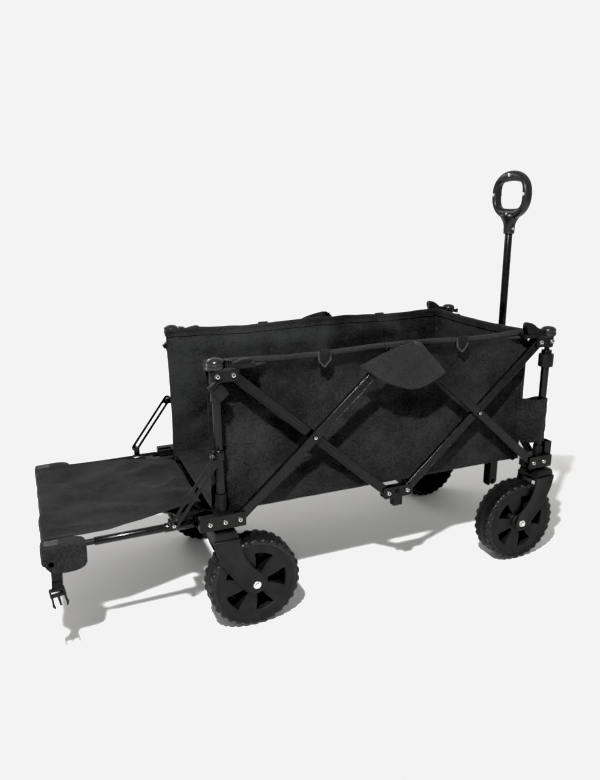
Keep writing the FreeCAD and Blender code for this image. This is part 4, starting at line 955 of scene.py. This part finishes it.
def corner_tabs():
    """The rim's cloth corners, folded flat over the brackets under the caps."""
    inner = 181
    for side, end in CORNERS:
        outline = [
            (-432, 183), (-433, 196), (-428, 209), (-415, 218.5), (-398, 219), (-376, 215), (-350, 203),
            (-318, 191), (-300, 184),
        ]
        furthest = -422 if end == REAR else -440  # the rear ones leave room for the tailgate
        outline = [(max(x * 0.98, furthest), y) for x, y in outline]

        def place(u, v):
            x, y = along_path(outline, u)
            y = inner + (y - inner) * v
            z = 562.2 + 1.1 * rumple(x, y, 22, side + end * 2.0) - 3.4 * max(0, v - 0.86) / 0.14
            z += 9 * max(0, 1 - v * 3.2)
            return (-end * x, side * y, z)

        shape = Shape()
        flat = grid(shape, 60, 16, place, HEM, flip=side * end < 0)
        shape.build(corner(end, side, "corner_tab"), corner(end, side, "top"), thick=1.6)


def post_sleeves():
    """Cloth sleeves that tie the walls' front ends round the posts."""
    loop = smooth_path([
        (343, 187), (352, 190), (366, 203), (384, 213), (404, 215.5), (417, 209), (419, 200), (412, 190),
        (396, 187), (372, 186), (356, 184),
    ])
    low, tall = 299, 108
    for side in SIDES:

        def place(u, v):
            x, y = along_path(loop, u)
            z = low + tall * v + 1.5 * sin(u * 19)
            pinch = 1.2 * rumple(u * 120, z, 22, side * 6.0)
            return (x + pinch, side * (y + pinch), z)

        shape = Shape()
        flat = grid(shape, 64, 30, place, CLOTH, flip=side < 0)
        shape.build(corner(FRONT, side, "sleeve"), corner(FRONT, side, "top"), thick=1.4)


def ring_tabs():
    """Webbing tabs that hold the lashing rings, folded over the rings' top wires."""
    path = smooth_path([
        (186.8, 543), (187.2, 560), (188, 573.5), (190.5, 576.2), (193.4, 573.5), (193.2, 564),
        (189.6, 556), (188.6, 545),
    ])
    wide = 25
    for side, end in CORNERS:
        middle = end * 170

        def place(u, v):
            y, z = along_path(path, v)
            return (middle - wide / 2 + wide * u, side * y, z)

        shape = Shape()
        grid(shape, 8, 40, place, WEBBING, flip=side > 0)
        shape.build(corner(end, side, "ring_tab"), corner(end, side, "top"), thick=1.3)


# -------- tailgate


def tailgate_cloth():
    """The let-down panel: slack cloth over the cross bars, turned down over the outer edge."""
    folds = [
        ((-440, -120), (-560, 30), 22, 3.4), ((-440, 120), (-600, 60), 20, 2.8),
        ((-470, -150), (-700, -60), 24, 3.0), ((-500, 160), (-730, 20), 26, 2.8),
        ((-445, 0), (-520, -40), 13, 2.6), ((-560, -170), (-740, -150), 15, 2.4),
        ((-455, 60), (-470, -100), 10, 2.6), ((-620, -60), (-735, 90), 30, 2.6),
    ]
    path = smooth_path([
        (-430, 257), (-445, 262.5), (-470, 263), (-722, 264), (-743, 264.5), (-749, 258),
        (-749.5, 244), (-748, 233),
    ])
    hinge_x, length, turn_x, lowest = -431, 314, -738, 254.6

    def place(u, v):
        x, z = along_path(path, u)
        run = clamp((hinge_x - x) / length)
        side_share = abs(2 * v - 1)
        half = 126 + 61 * min(1.0, run / 0.62) ** 0.9 + 1.5 * rumple(x, 0, 45, 3.0)
        y = (2 * v - 1) * half
        sag = -7.0 * (sin(pi * run) ** 0.7 * (1 - side_share ** 3))
        on_top = x > turn_x
        swell = 1.5 * sum(ridge(x, y, *fold) for fold in folds) + 1.8 * rumple(x, y, 58, 11.0)
        swell += 2.0 * crisp(x, y, 75, 2.0)
        x += 3.0 * run * rumple(y, 0, 60, 5.0) * (1 - side_share ** 4)
        if on_top:
            z += sag + min(1, 4 * (1 - side_share) + 0.25) * swell
            z = max(z, lowest) if run > 0.03 else z
        else:
            x += 1.2 * rumple(y, z, 35, 8.0)
        return (x, y, z)

    shape = Shape()
    # the tailgate uses the cloth copy with painted shade
    flat = grid(shape, 150, 150, place, TAIL_PAINTED_DARKER)
    piece = shape.build("tailgate_cloth", "right_gate_corner", thick=1.3, squash=FOLD_WIDE)
    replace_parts(piece, "tailgate_panel")
    edge = Shape()
    for v in (0.0, 1.0):
        edge.tube([place(0.02 + i / 105, v) for i in range(100)], 1.9, HEM, sides=8)
    edge.build("tailgate_piping", "right_gate_corner", squash=FOLD_WIDE)


def pockets():
    """Sewn pockets over the tailgate's outer corners."""
    outline = [(-750, 263), (-672, 265), (-670, 238), (-672, 208), (-732, 205), (-750, 226)]
    outline = smooth_path([*outline, outline[0]])[:-1]
    cx, cz = -710, 236
    depths = ((186, 1.8), (190, 0), (204, 0), (217, 0), (222.5, 1.8))
    for side in SIDES:
        shape = Shape()
        loops = []
        for y, shrink in depths:
            loop = []
            for x, z in outline:
                pull = 1 - shrink / 40 + 0.022 * noise.noise((x / 24, y / 24, z / 24 + side))
                loop.append((cx + (x - cx) * pull, side * y, cz + (z - cz) * pull))
            loops.append(loop[::-side])
        shape.rings(loops, CLOTH)
        shape.build(f"{SIDES[side]}_pocket", f"{SIDES[side]}_gate_corner", bevel=2.2, steps=3)


def straps():
    """Hanging webbing tails with the male halves of side-release buckles."""
    path = smooth_path([
        (219.5, 239), (219.6, 226), (221.2, 208), (220.4, 192), (218.6, 182), (218.4, 172), (220.8, 171),
        (221.4, 178), (222.2, 192),
    ])
    tilt = radians(8)

    def leaned(points):
        return [(-730.5 + a * cos(tilt) - b * sin(tilt),
                 172 + a * sin(tilt) + b * cos(tilt)) for a, b in points]

    for side in SIDES:
        shape = Shape()

        def place(u, v):
            y, z = along_path(path, v)
            drift = 1.6 * sin((z - 170) / 70 * pi) - 2.2 * (237 - z) / 60
            return (-728 - 10 + 20 * u + drift, side * y, z)

        grid(shape, 6, 50, place, WEBBING, flip=side > 0)
        name = f"{SIDES[side]}_gate_strap"
        piece = shape.build(f"{SIDES[side]}_strap_web", name, thick=1.4)
        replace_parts(piece, name)
        buckle = Shape()
        low, high = side * 215.2, side * 223.4
        frame_bars = [
            [(-14, 3), (14, 3), (14, 7.2), (-14, 7.2)], [(-14.5, -10), (14.5, -10), (14.5, -4), (-14.5, -4)],
            [(-14.5, -6), (-10.8, -6), (-10.4, 6), (-13.8, 6)],
            [(10.8, -6), (14.5, -6), (13.8, 6), (10.4, 6)],
        ]
        for bar in frame_bars:
            buckle.prism(leaned(bar), "y", low, high, PLASTIC)
        middle = side * 219.3
        for way in (-1, 1):
            half = [(13.6, -9), (14, -22), (15.4, -27), (12.6, -33.5), (9.4, -34), (10.4, -26), (9.6, -9)]
            prong = [(way * a, b) for a, b in half]
            buckle.prism(leaned(prong), "y", middle - 2.6, middle + 2.6, PLASTIC)
        tongue = [(-2.6, -9), (2.6, -9), (2, -30), (-2, -30)]
        buckle.prism(leaned(tongue), "y", middle - 2, middle + 2, PLASTIC)
        buckle.build(f"{SIDES[side]}_buckle", name, bevel=0.8)


# -------- the carried-over CAD nodes


def dress_nodes():
    """Materials and softened edges for the CAD nodes that stay in view."""
    looks = {
        "black_steel": STEEL, "black_plastic": PLASTIC, "black_cloth": CLOTH, "black_webbing": WEBBING,
        "black_wire": RING_PAINTED_LIGHT, "wheel_plastic": WHEEL, "grip_plastic": GRIP,
    }
    slots = {part["node"]: part["material_slot"] for part in frame["record"]["subparts"]}
    for name, obj in frame["nodes"].items():
        obj.data.materials.clear()
        obj.data.materials.append(looks[slots[name]])
        if obj.hide_render:
            continue
        weld = obj.modifiers.new("weld", "WELD")
        weld.merge_threshold = 0.00002
        soften = obj.modifiers.new("edges", "BEVEL")
        soften.width = 0.0006
        soften.segments = 2
        soften.limit_method = "ANGLE"
        soften.angle_limit = radians(50)


# -------- stage


def area_light(name, place, target, size, power):
    data = bpy.data.lights.new(name, "AREA")
    data.shape = "RECTANGLE"
    data.size, data.size_y = size
    data.energy = power
    obj = bpy.data.objects.new(name, data)
    bpy.context.collection.objects.link(obj)
    obj.location = place
    obj.rotation_euler = (Vector(target) - obj.location).to_track_quat("-Z", "Y").to_euler()


def studio():
    """A pale floor that fades out far off, under a sky that is white to the camera and dim to the wagon."""
    mesh = bpy.data.meshes.new("studio_floor")
    reach = 40
    glow_from, glow_to, gone = 1.0, 1.7, 2.5  # metres from the middle: the floor brightens, then fades out
    corners = [(-reach, -reach, 0), (reach, -reach, 0), (reach, reach, 0), (-reach, reach, 0)]
    mesh.from_pydata(corners, [], [(0, 1, 2, 3)])
    floor = bpy.data.objects.new("studio_floor", mesh)
    bpy.context.collection.objects.link(floor)
    n = Nodes("floor_paint")
    far = n.tree.nodes.new("ShaderNodeVectorMath")
    far.operation = "LENGTH"
    n.link(n.place, far.inputs[0])
    n.finish(
        Base_Color=(0.93, 0.922, 0.91, 1),
        Roughness=0.9,
        Emission_Color=(1, 1, 1, 1),
        Emission_Strength=n.between(far.outputs["Value"], 0.0, 0.8, glow_from, glow_to),
        Alpha=n.between(far.outputs["Value"], 1.0, 0.0, glow_to, gone),
        Specular_IOR_Level=0.05,
    )
    mesh.materials.append(n.material)
    world = bpy.data.worlds.new("studio")
    bpy.context.scene.world = world
    world.use_nodes = True
    tree = world.node_tree
    path = tree.nodes.new("ShaderNodeLightPath")
    strength = tree.nodes.new("ShaderNodeMapRange")
    tree.links.new(path.outputs["Is Camera Ray"], strength.inputs["Value"])
    strength.inputs["To Min"].default_value = 0.6
    strength.inputs["To Max"].default_value = 1.2
    tree.links.new(strength.outputs["Result"], tree.nodes["Background"].inputs["Strength"])
    tree.nodes["Background"].inputs["Color"].default_value = (1, 1, 1, 1)
    area_light("key", (-0.7435, -1.211, 1.845), (0.1, 0, 0.3), (0.08, 0.08), 86)
    area_light("back", (-0.72, 2.0, 1.55), (0.1, 0, 0.45), (1.2, 0.25), 12)
    look = bpy.context.scene.view_settings
    look.view_transform = "Standard"
    look.use_curve_mapping = True
    look.curve_mapping.extend = "HORIZONTAL"
    look.curve_mapping.black_level = (0.008, 0.008, 0.008)
    look.curve_mapping.curves[3].points[-1].location = (1.0, 0.896)
    look.curve_mapping.update()


def camera():
    place = (-0.5665, -1.387, 0.857)
    yaw, pitch, roll = radians(67.63), radians(-15.58), radians(-0.54)
    ahead = Vector((cos(pitch) * cos(yaw), cos(pitch) * sin(yaw), sin(pitch)))
    right = ahead.cross(Vector((0, 0, 1))).normalized()
    up = right.cross(ahead)
    leaned = right * cos(roll) + up * sin(roll)
    risen = up * cos(roll) - right * sin(roll)
    data = bpy.data.cameras.new("camera")
    data.lens, data.sensor_width = 30.21, 36
    obj = bpy.data.objects.new("camera", data)
    bpy.context.collection.objects.link(obj)
    turn = Matrix((leaned, risen, -ahead)).transposed().to_4x4()
    obj.matrix_world = Matrix.Translation(place) @ turn
    bpy.context.scene.camera = obj


camera()
wheels()
forks()
screws()
post_caps()
lock_sleeves()
bar_edges()
grip()
side_walls()
end_wall()
floors()
hoods()
corner_tabs()
post_sleeves()
ring_tabs()
tailgate_cloth()
pockets()
straps()
dress_nodes()
studio()
